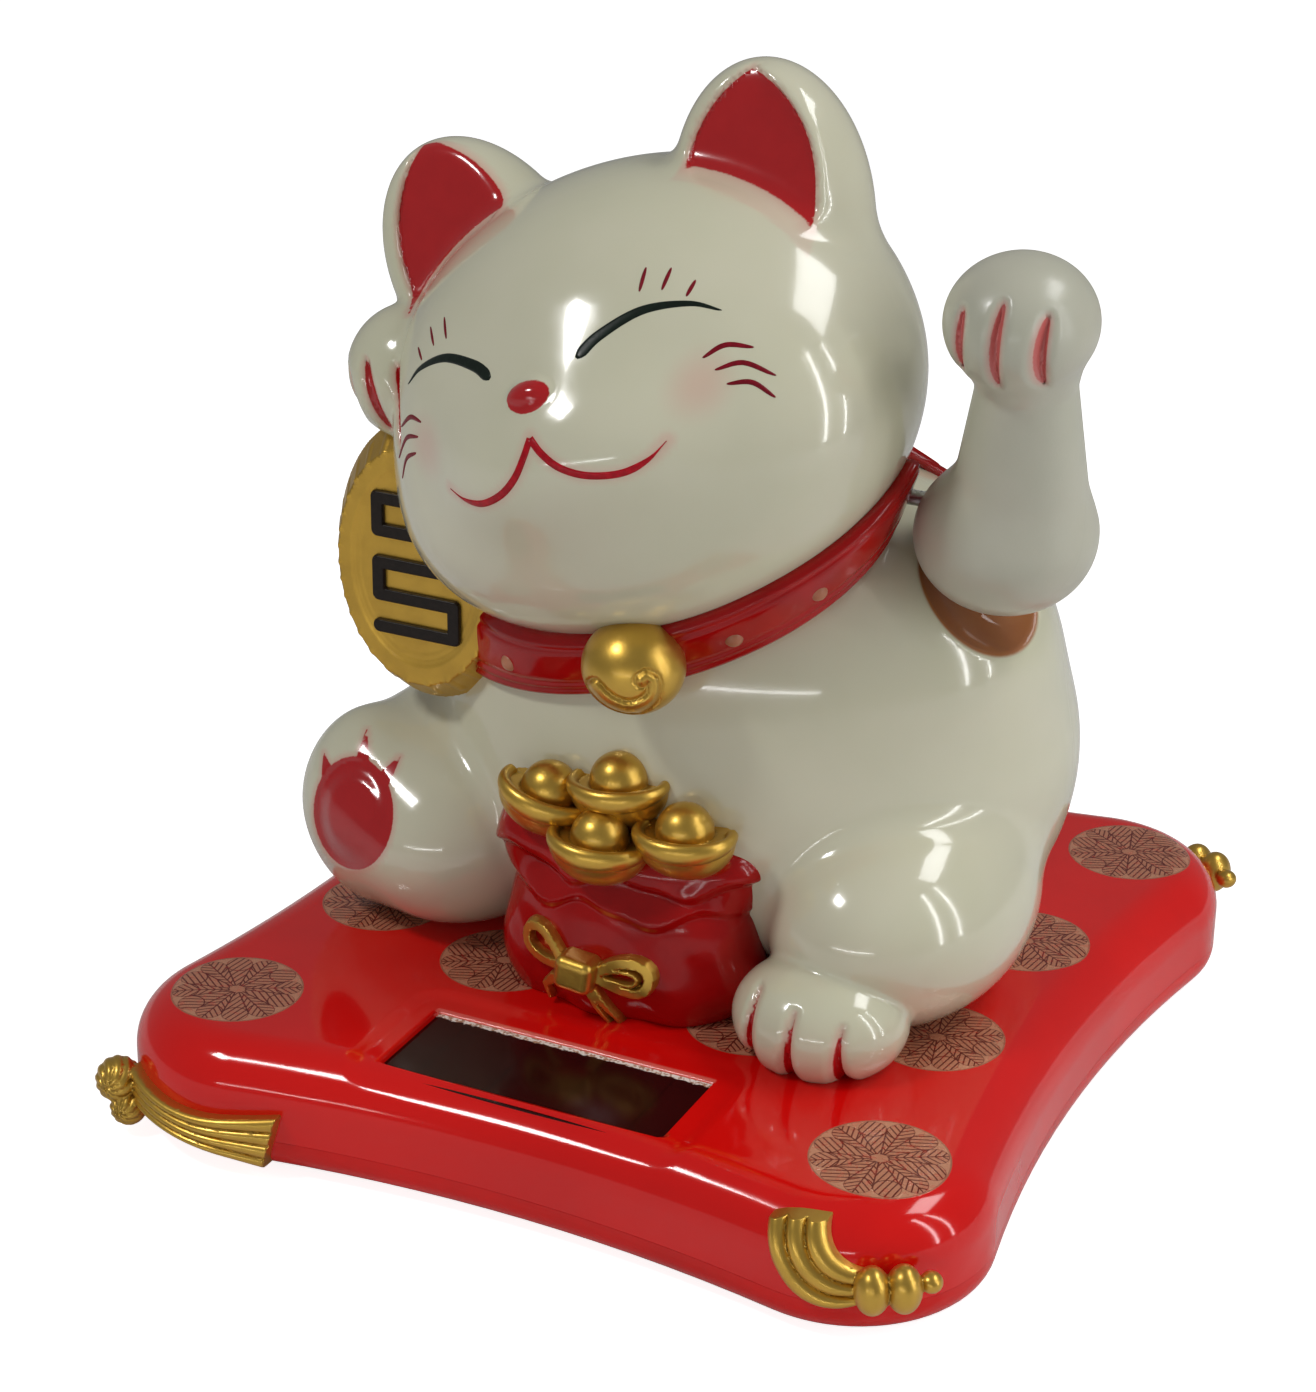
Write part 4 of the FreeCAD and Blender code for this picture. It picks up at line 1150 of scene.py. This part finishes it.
# ---- pieces -------------------------------------------------------------------------------
FACE_X = -1.0                     # the face is painted a little to one side
EYE = [(6.0, 32.2), (8.7, 33.8), (13.8, 35.0), (18.9, 34.1), (22.3, 32.2)]
MOUTH = [(0.0, 25.4), (1.3, 23.4), (3.2, 21.3), (6.0, 19.6), (9.6, 18.7), (12.6, 19.2), (15.0, 20.6)]
WHISKERS = [((19.9, 28.0), (22.4, 28.5), (25.2, 27.2)), ((21.0, 26.3), (24.0, 26.0), (27.0, 23.4)),
            ((22.0, 24.4), (24.6, 23.6), (26.6, 21.1))]
BROWS = [((14.3, 39.2), (13.6, 37.0)), ((17.1, 38.3), (16.1, 36.4)), ((19.7, 36.2), (18.7, 34.9))]
BLUSH, BLUSH_R = (19.3, 25.3), 5.0


def face_line(points, side, count):
    """Points on the head below a path drawn in the head's X and Z."""
    flat = smooth_path(points, count)
    local = np.stack([FACE_X + side * flat[:, 0], np.full(count, -60.0), flat[:, 1]], 1)
    start = NECK + local @ HEAD_AXES.T
    return march(head, start, HEAD_AXES[:, 1])


def paint_stroke(name, points, side, width, material):
    """One painted line; width gives its half width from 0 to 1 along it."""
    count = 48
    obj = stroke(name, head, face_line(points, side, count), width(np.linspace(0, 1, count)))
    place(obj, material, "cat", slot="crimson_paint")


def eye_width(t):
    """Full and round at the inner end, drawn out to a fine point."""
    return 0.05 + 0.72 * (1 - t) ** 0.55 * np.sqrt(ease(t, -0.01, 0.06))


def mouth_width(t):
    """Full from the middle of the face, running out at the corner."""
    return 0.06 + 0.40 * ease(t, 1.0, 0.72)


def hair_width(t):
    """Pointed at both ends, as whiskers are."""
    return 0.05 + 0.27 * np.sqrt(4 * t * (1 - t))


def tick_width(t):
    """The same for the finer brow ticks."""
    return 0.04 + 0.20 * np.sqrt(4 * t * (1 - t))


def paint_face():
    black = line_paint("eye_paint", (0.006, 0.012, 0.008))
    crimson = line_paint("mouth_paint", (0.36, 0.004, 0.012))
    dark = line_paint("whisker_paint", (0.17, 0.004, 0.012))
    for side, word in ((1, "left"), (-1, "right")):
        paint_stroke("eye_" + word, EYE, side, eye_width, black)
        paint_stroke("mouth_" + word, MOUTH, side, mouth_width, crimson)
        for number, points in enumerate(WHISKERS, 1):
            paint_stroke(f"whisker_{word}_{number}", points, side, hair_width, dark)
        for number, points in enumerate(BROWS, 1):
            paint_stroke(f"brow_{word}_{number}", points, side, tick_width, dark)


def soft_pink(p):
    """Airbrushed cheeks, and pale halos round the mouth and the red paint."""
    local = (p - NECK) @ HEAD_AXES
    x = np.abs(local[:, 0] - FACE_X)
    on_face = (local[:, 1] < -12) & (local[:, 2] > 8)
    cheek = np.hypot(x - BLUSH[0], local[:, 2] - BLUSH[1])
    pink = 0.42 * ease(cheek, BLUSH_R, 0.5)
    path = smooth_path(MOUTH, 40)
    gap = np.full(len(p), 9.0)
    to_path = np.stack([x[on_face], local[on_face, 2]], 1)[:, None] - path[None]
    gap[on_face] = length(to_path).min(1)
    pink = np.maximum(pink, 0.45 * ease(gap, 1.5, 0.3)) * on_face
    edges = union(ear_paint(p, 1), ear_paint(p, -1), sole_paint(p), claw_paint(p))
    return np.maximum(pink, 0.6 * ease(edges, 0.8, 0.0))


def nose_paint(p):
    local = (p - NECK) @ HEAD_AXES
    q = (local[:, [0, 2]] - np.array(NOSE)) / np.array(NOSE_R)
    return np.maximum((length(q) - 1.05) * 2.2, local[:, 1] + 30)


def red_paint(p):
    """Distance to the nearest crimson paint on the body."""
    return union(ear_paint(p, 1), ear_paint(p, -1), nose_paint(p), sole_paint(p), claw_paint(p) - 0.05)


def half_box(low, high, split_y, sign):
    """The part of a box behind (sign 1) or in front (sign -1) of a split across Y."""
    low, high = low.copy(), high.copy()
    near_split = low if sign > 0 else high
    near_split[1] = split_y
    return low, high


def build_body():
    ivory = ivory_plastic()
    corners = np.array([cad_box(f"body_{word}_shell") for word in ("front", "rear")])
    low, high = corners[:, 0].min(0) - 7, corners[:, 1].max(0) + 7
    for word, sign in (("front", -1), ("rear", 1)):
        cut = ((0, SPLIT_Y, 0), (0, sign, 0))
        box = half_box(low, high, SPLIT_Y, sign)
        obj, points = solid("body_" + word, body_shell, *box, 0.6, skin, cut=cut)
        outside = skin(points) > -0.5
        note(obj, "paint", np.where(outside, red_paint(points), 9.0))
        note(obj, "blush", np.where(outside, soft_pink(points), 0.0))
        # socket: where the inside of the socket gets its painted shade
        note(obj, "socket", np.abs(shoulder_cup(points)))
        place(obj, ivory, "cat", f"body_{word}_shell", slot="white_plastic")


ARM_SPLIT, ARM_LEAN = 3.5, 17     # the arm's seam: millimetres before the pivot, degrees back


def build_arm():
    satin = satin_plastic()
    lean = turned(0, 0, -ARM_LEAN)
    corners = np.array([cad_box(f"arm_{word}_shell") for word in ("front", "rear")])
    ends = np.stack(np.meshgrid(*zip(corners[:, 0].min(0), corners[:, 1].max(0)), indexing="ij"), -1)
    ends = ends.reshape(-1, 3) @ lean
    middle = PIVOT - (0, ARM_SPLIT, 0)
    for word, sign in (("front", -1), ("rear", 1)):
        box = half_box(ends.min(0), ends.max(0), (middle @ lean)[1], sign)
        cut = (middle, sign * lean[:, 1])
        obj, points = solid("waving_arm_" + word, arm_shell, *box, 0.45, waving_arm, lean, cut)
        paint = wave_paint(points)
        outside = waving_arm(points) > -0.5
        note(obj, "paint", np.where(outside, paint - 0.05, 9.0))
        note(obj, "blush", np.where(outside, ease(paint, 0.8, 0.0) * 0.8, 0.0))
        place(obj, satin, "waving_arm", f"arm_{word}_shell", slot="arm_plastic")


def build_base():
    cut = ((0, 0, SEAM_Z), (0, 0, 1))
    obj, points = solid("cushion_top", cushion_top, BASE_LOW, BASE_HIGH, 0.7, cut=cut)
    off = nearest_medal(points)
    note(obj, "medal_x", off[:, 0])
    note(obj, "medal_y", off[:, 1])
    note(obj, "medal_r", np.where(points[:, 2] < TOP_Z - 4, 99.0, length(off)))
    back_edge = points[:, 1] > WINDOW_CENTRE[1] + WINDOW_HALF[1] - 0.5
    note(obj, "window_edge", np.where(back_edge, np.abs(window(points)), 9.0))
    place(obj, cushion_plastic(), "cat", "base_top_shell", slot="red_plastic")


COLLAR_CENTRE = np.array([3.2, 4.3, 80.0])
COLLAR_FRONT = np.array([-0.285, -0.405, 0.844])
COLLAR_BACK = np.array([-0.07, 0.0, 1.0])
COLLAR_HALF_W = 4.9
COLLAR_ENDS = (-14, -318)         # degrees round the neck, from the right side by the front
STUD_STEP = 20
STUD_R, STUD_FREE = 1.3, 12       # stud radius, and the reach round the bell kept free of studs


def neck_form(p):
    return join(trunk(p), head(p), 1.0)


def collar_frame(turn):
    """Outward direction and width direction of the strap at an angle round the neck."""
    s = ease(np.sin(turn), -0.1, 0.7)
    normal = COLLAR_FRONT + (COLLAR_BACK - COLLAR_FRONT) * s[:, None]
    normal /= length(normal)[:, None]
    flat = np.stack([np.cos(turn), np.sin(turn), np.zeros_like(turn)], 1)
    flat[:, 2] = -(normal[:, 0] * flat[:, 0] + normal[:, 1] * flat[:, 1]) / normal[:, 2]
    return flat / length(flat)[:, None], normal


def collar_reach(turn, offset):
    """How far the neck's skin is from the strap's centre, offset across the strap."""
    out, normal = collar_frame(turn)
    start = COLLAR_CENTRE + normal * offset + out * 60
    met = march(neck_form, start, -out, 90)
    return ((met - COLLAR_CENTRE) * out).sum(1)


def collar_profile(u):
    """Height of the strap's face across its width, -1 at the lower edge and 1 at the upper."""
    crown = 1.7 * (1 - u ** 8) + 0.3 * (1 - u * u)
    for at, depth in ((-0.62, 0.35), (-0.36, 0.25), (0.70, 0.30)):
        crown -= depth * np.exp(-((u - at) / 0.07) ** 2)
    return crown


def strap(turn):
    """Rings of the strap's closed section at each angle; its right end stands off the neck."""
    out, normal = collar_frame(turn)
    flare = 0.8 * ease(np.degrees(turn), -55, COLLAR_ENDS[0])
    low, high = collar_reach(turn, -COLLAR_HALF_W), collar_reach(turn, COLLAR_HALF_W)

    def line(u, spread, radius):
        return COLLAR_CENTRE + normal * (u * spread * COLLAR_HALF_W) + out * radius[:, None]

    def bridge(u):
        return low + (high - low) * (u + 1) / 2

    lines = []
    for u in np.linspace(-1, 1, 41):
        under = np.maximum(collar_reach(turn, u * COLLAR_HALF_W), bridge(u))
        lines.append(line(u, 1.0, under + collar_profile(u) + flare))
    lines += [line(u, 0.98, bridge(u) - 0.8) for u in np.linspace(1, -1, 11)]
    return np.stack(lines, 1)


def build_collar():
    red = gloss_paint("collar_enamel", (0.44, 0.003, 0.003), (0.34, 0.002, 0.002), 0.11)
    turn = np.radians(np.linspace(*COLLAR_ENDS, 240))
    rings = strap(turn)
    place(tube("collar_strap", rings), red, "cat", "collar", slot="crimson_paint")
    peach = gloss_paint("stud_peach", (0.55, 0.24, 0.14), (0.36, 0.12, 0.06), 0.3)
    at = np.radians(np.arange(-128.0, -30.0, STUD_STEP))
    out, _ = collar_frame(at)
    edges = collar_reach(at, -COLLAR_HALF_W) + collar_reach(at, COLLAR_HALF_W)
    reach = np.maximum(collar_reach(at, 0.0), edges / 2)
    centres = COLLAR_CENTRE + out * (reach + STUD_R)[:, None]
    centres = centres[length(centres - BELL) > STUD_FREE]

    def dots(p):
        return union(*(length(p - centre) for centre in centres)) - STUD_R

    obj, _ = solid("collar_studs_domed", dots, centres.min(0) - 2, centres.max(0) + 2, 0.3)
    place(obj, peach, "cat", "collar_studs", slot="stud_paint")


def trim(name, field, node, below, above, step, material, slot="gold_paint"):
    """A fixed piece in place of a CAD node, laid out in that node's box with some margin."""
    low, high = cad_box(node)
    obj, _ = solid(name, field, low - below, high + above, step)
    place(obj, material, "cat", node, slot=slot)


def build_coin():
    # The margin below the box keeps grid points off the coin's flat faces.
    trim("coin", coin, "gold_coin", 3.1, (3, 4, 3), 0.3, coin_gold())
    black = line_paint("coin_black", (0.012, 0.008, 0.006))
    obj, _ = solid("coin_key_pattern", coin_emblem, COIN_LOW - 3.1, COIN_HIGH + 1, 0.25)
    place(obj, black, "cat", "coin_emblem", slot="emblem_paint")


def build_ingots(gold):
    for number, (at, lean) in enumerate(INGOTS, 1):
        at = np.array(at)
        obj, _ = solid(f"ingot_{number}", lambda p: ingot(p, at, lean), at - 9, at + 9, 0.28)
        stands_for = ["gold_ingots"] if number == 1 else []
        place(obj, gold, "cat", *stands_for, slot="gold_paint")


def build_trim():
    gold = gold_paint()
    bag_red = gloss_paint("bag_enamel", (0.42, 0.003, 0.003), (0.32, 0.002, 0.002), 0.13)
    trim("bell_domed", bell, "bell", 4, 4, 0.25, gold)
    trim("bow_ribbon", bow, "bag_bow", 4, 4, 0.25, gold)
    build_coin()
    trim("money_bag_soft", bag, "money_bag", 3, 3, 0.4, bag_red, "crimson_paint")
    build_ingots(gold)
    for side, field in (("left", straight_tassel), ("right", curled_tassel)):
        for end, form in (("front", field), ("back", to_back(field))):
            node = f"tassel_{end}_{side}"
            trim(node + "_corded", form, node, 2, 2, 0.3, gold)


def dress_frame():
    """Gives the CAD parts that stay visible their own materials."""
    for node, material in cad_finishes().items():
        mesh = frame["nodes"][node].data
        mesh.materials.clear()
        mesh.materials.append(material)


# ---- stage, light and camera --------------------------------------------------------------
AIM = np.array([3.81, -22.58, 60.0])
VIEW_AZIMUTH, VIEW_ELEVATION, VIEW_ROLL = 25.72, 23.82, 0.79
VIEW_DISTANCE = 411.6
SENSOR, FOCAL = 36.0, 84.4956     # camera sensor and lens, in millimetres


def stand(obj, right, up, back, at):
    """Puts a camera or light into the scene; it looks against its back direction."""
    obj.matrix_world = Matrix([*zip(right, up, back, at), (0, 0, 0, 1)])
    bpy.context.scene.collection.objects.link(obj)


def build_camera():
    a, e, r = (math.radians(v) for v in (VIEW_AZIMUTH, VIEW_ELEVATION, VIEW_ROLL))
    back = np.array([math.sin(a) * math.cos(e), -math.cos(a) * math.cos(e), math.sin(e)])
    right = np.array([math.cos(a), math.sin(a), 0.0])
    up = np.cross(back, right)
    right, up = math.cos(r) * right + math.sin(r) * up, math.cos(r) * up - math.sin(r) * right
    data = bpy.data.cameras.new("photo_view")
    data.sensor_width, data.lens = SENSOR, FOCAL
    data.clip_start, data.clip_end = 0.01, 20.0
    camera = bpy.data.objects.new("photo_view", data)
    stand(camera, right, up, back, (AIM + back * VIEW_DISTANCE) * MM)
    bpy.context.scene.camera = camera


def softbox(name, at, aim, size, power):
    """A rectangular light; places and sizes in millimetres."""
    data = bpy.data.lights.new(name, "AREA")
    data.shape = "RECTANGLE"
    data.size, data.size_y = size[0] * MM, size[1] * MM
    data.energy = power
    light = bpy.data.objects.new(name, data)
    at, aim = np.array(at, float), np.array(aim, float)
    back = (at - aim) / np.linalg.norm(at - aim)
    right = np.cross((0, 0, 1), back)
    right /= np.linalg.norm(right)
    up = np.cross(back, right)
    stand(light, right, up, back, at * MM)


def seen_directly(shader):
    """1 for what the camera sees and 0 for what lights or mirrors in the object."""
    return Signal(shader, shader.node("ShaderNodeLightPath").outputs["Is Camera Ray"])


def build_floor():
    mesh = bpy.data.meshes.new("studio_floor")
    half = 3.0
    corners = [(-half, -half, 0), (half, -half, 0), (half, half, 0), (-half, half, 0)]
    mesh.from_pydata(corners, [], [(0, 1, 2, 3)])
    floor = bpy.data.objects.new("studio_floor", mesh)
    bpy.context.scene.collection.objects.link(floor)
    s = Shader("studio_paper")
    colour = s.mix(s.noise(60.0), (0.82, 0.82, 0.82), (0.80, 0.80, 0.80))
    s.feed(s.bsdf.inputs["Emission Color"], (1.0, 1.0, 1.0))
    s.feed(s.bsdf.inputs["Emission Strength"], seen_directly(s) * 0.85 + 0.02)
    mesh.materials.append(s.finish(colour, 0.9, bump=s.noise(0.8), depth=0.01))


def build_world():
    """White behind the object for the camera, a soft grey sky for everything else."""
    world = bpy.data.worlds.new("studio")
    bpy.context.scene.world = world
    world.use_nodes = True
    tree = world.node_tree
    path = tree.nodes.new("ShaderNodeLightPath")
    strength = tree.nodes.new("ShaderNodeMapRange")
    strength.inputs["To Min"].default_value = 0.21
    strength.inputs["To Max"].default_value = 1.0
    tree.links.new(path.outputs["Is Camera Ray"], strength.inputs["Value"])
    background = tree.nodes["Background"]
    background.inputs["Color"].default_value = (1.0, 1.0, 1.0, 1)
    tree.links.new(strength.outputs["Result"], background.inputs["Strength"])


LIGHTS = [                        # place, height aimed at, size in mm, power in watts
    ("key_softbox", (-240, -300, 500), 60, (115, 75), 0.85),
    ("right_strip", (420, -60, 220), 60, (16, 420), 0.33),
    ("right_strip_2", (440, 40, 220), 60, (10, 420), 0.25),
    ("front_strip", (40, -520, 90), 20, (420, 10), 0.22),
    ("top_softbox", (260, 140, 460), 80, (240, 120), 0.65),
]


def build_stage():
    build_floor()
    build_world()
    for name, at, aim_z, size, power in LIGHTS:
        softbox(name, at, (0, 0, aim_z), size, power)
    bpy.context.scene.view_settings.view_transform = "Standard"


build_body()
build_arm()
build_base()
build_collar()
paint_face()
build_trim()
dress_frame()
build_camera()
build_stage()
bpy.context.view_layer.update()
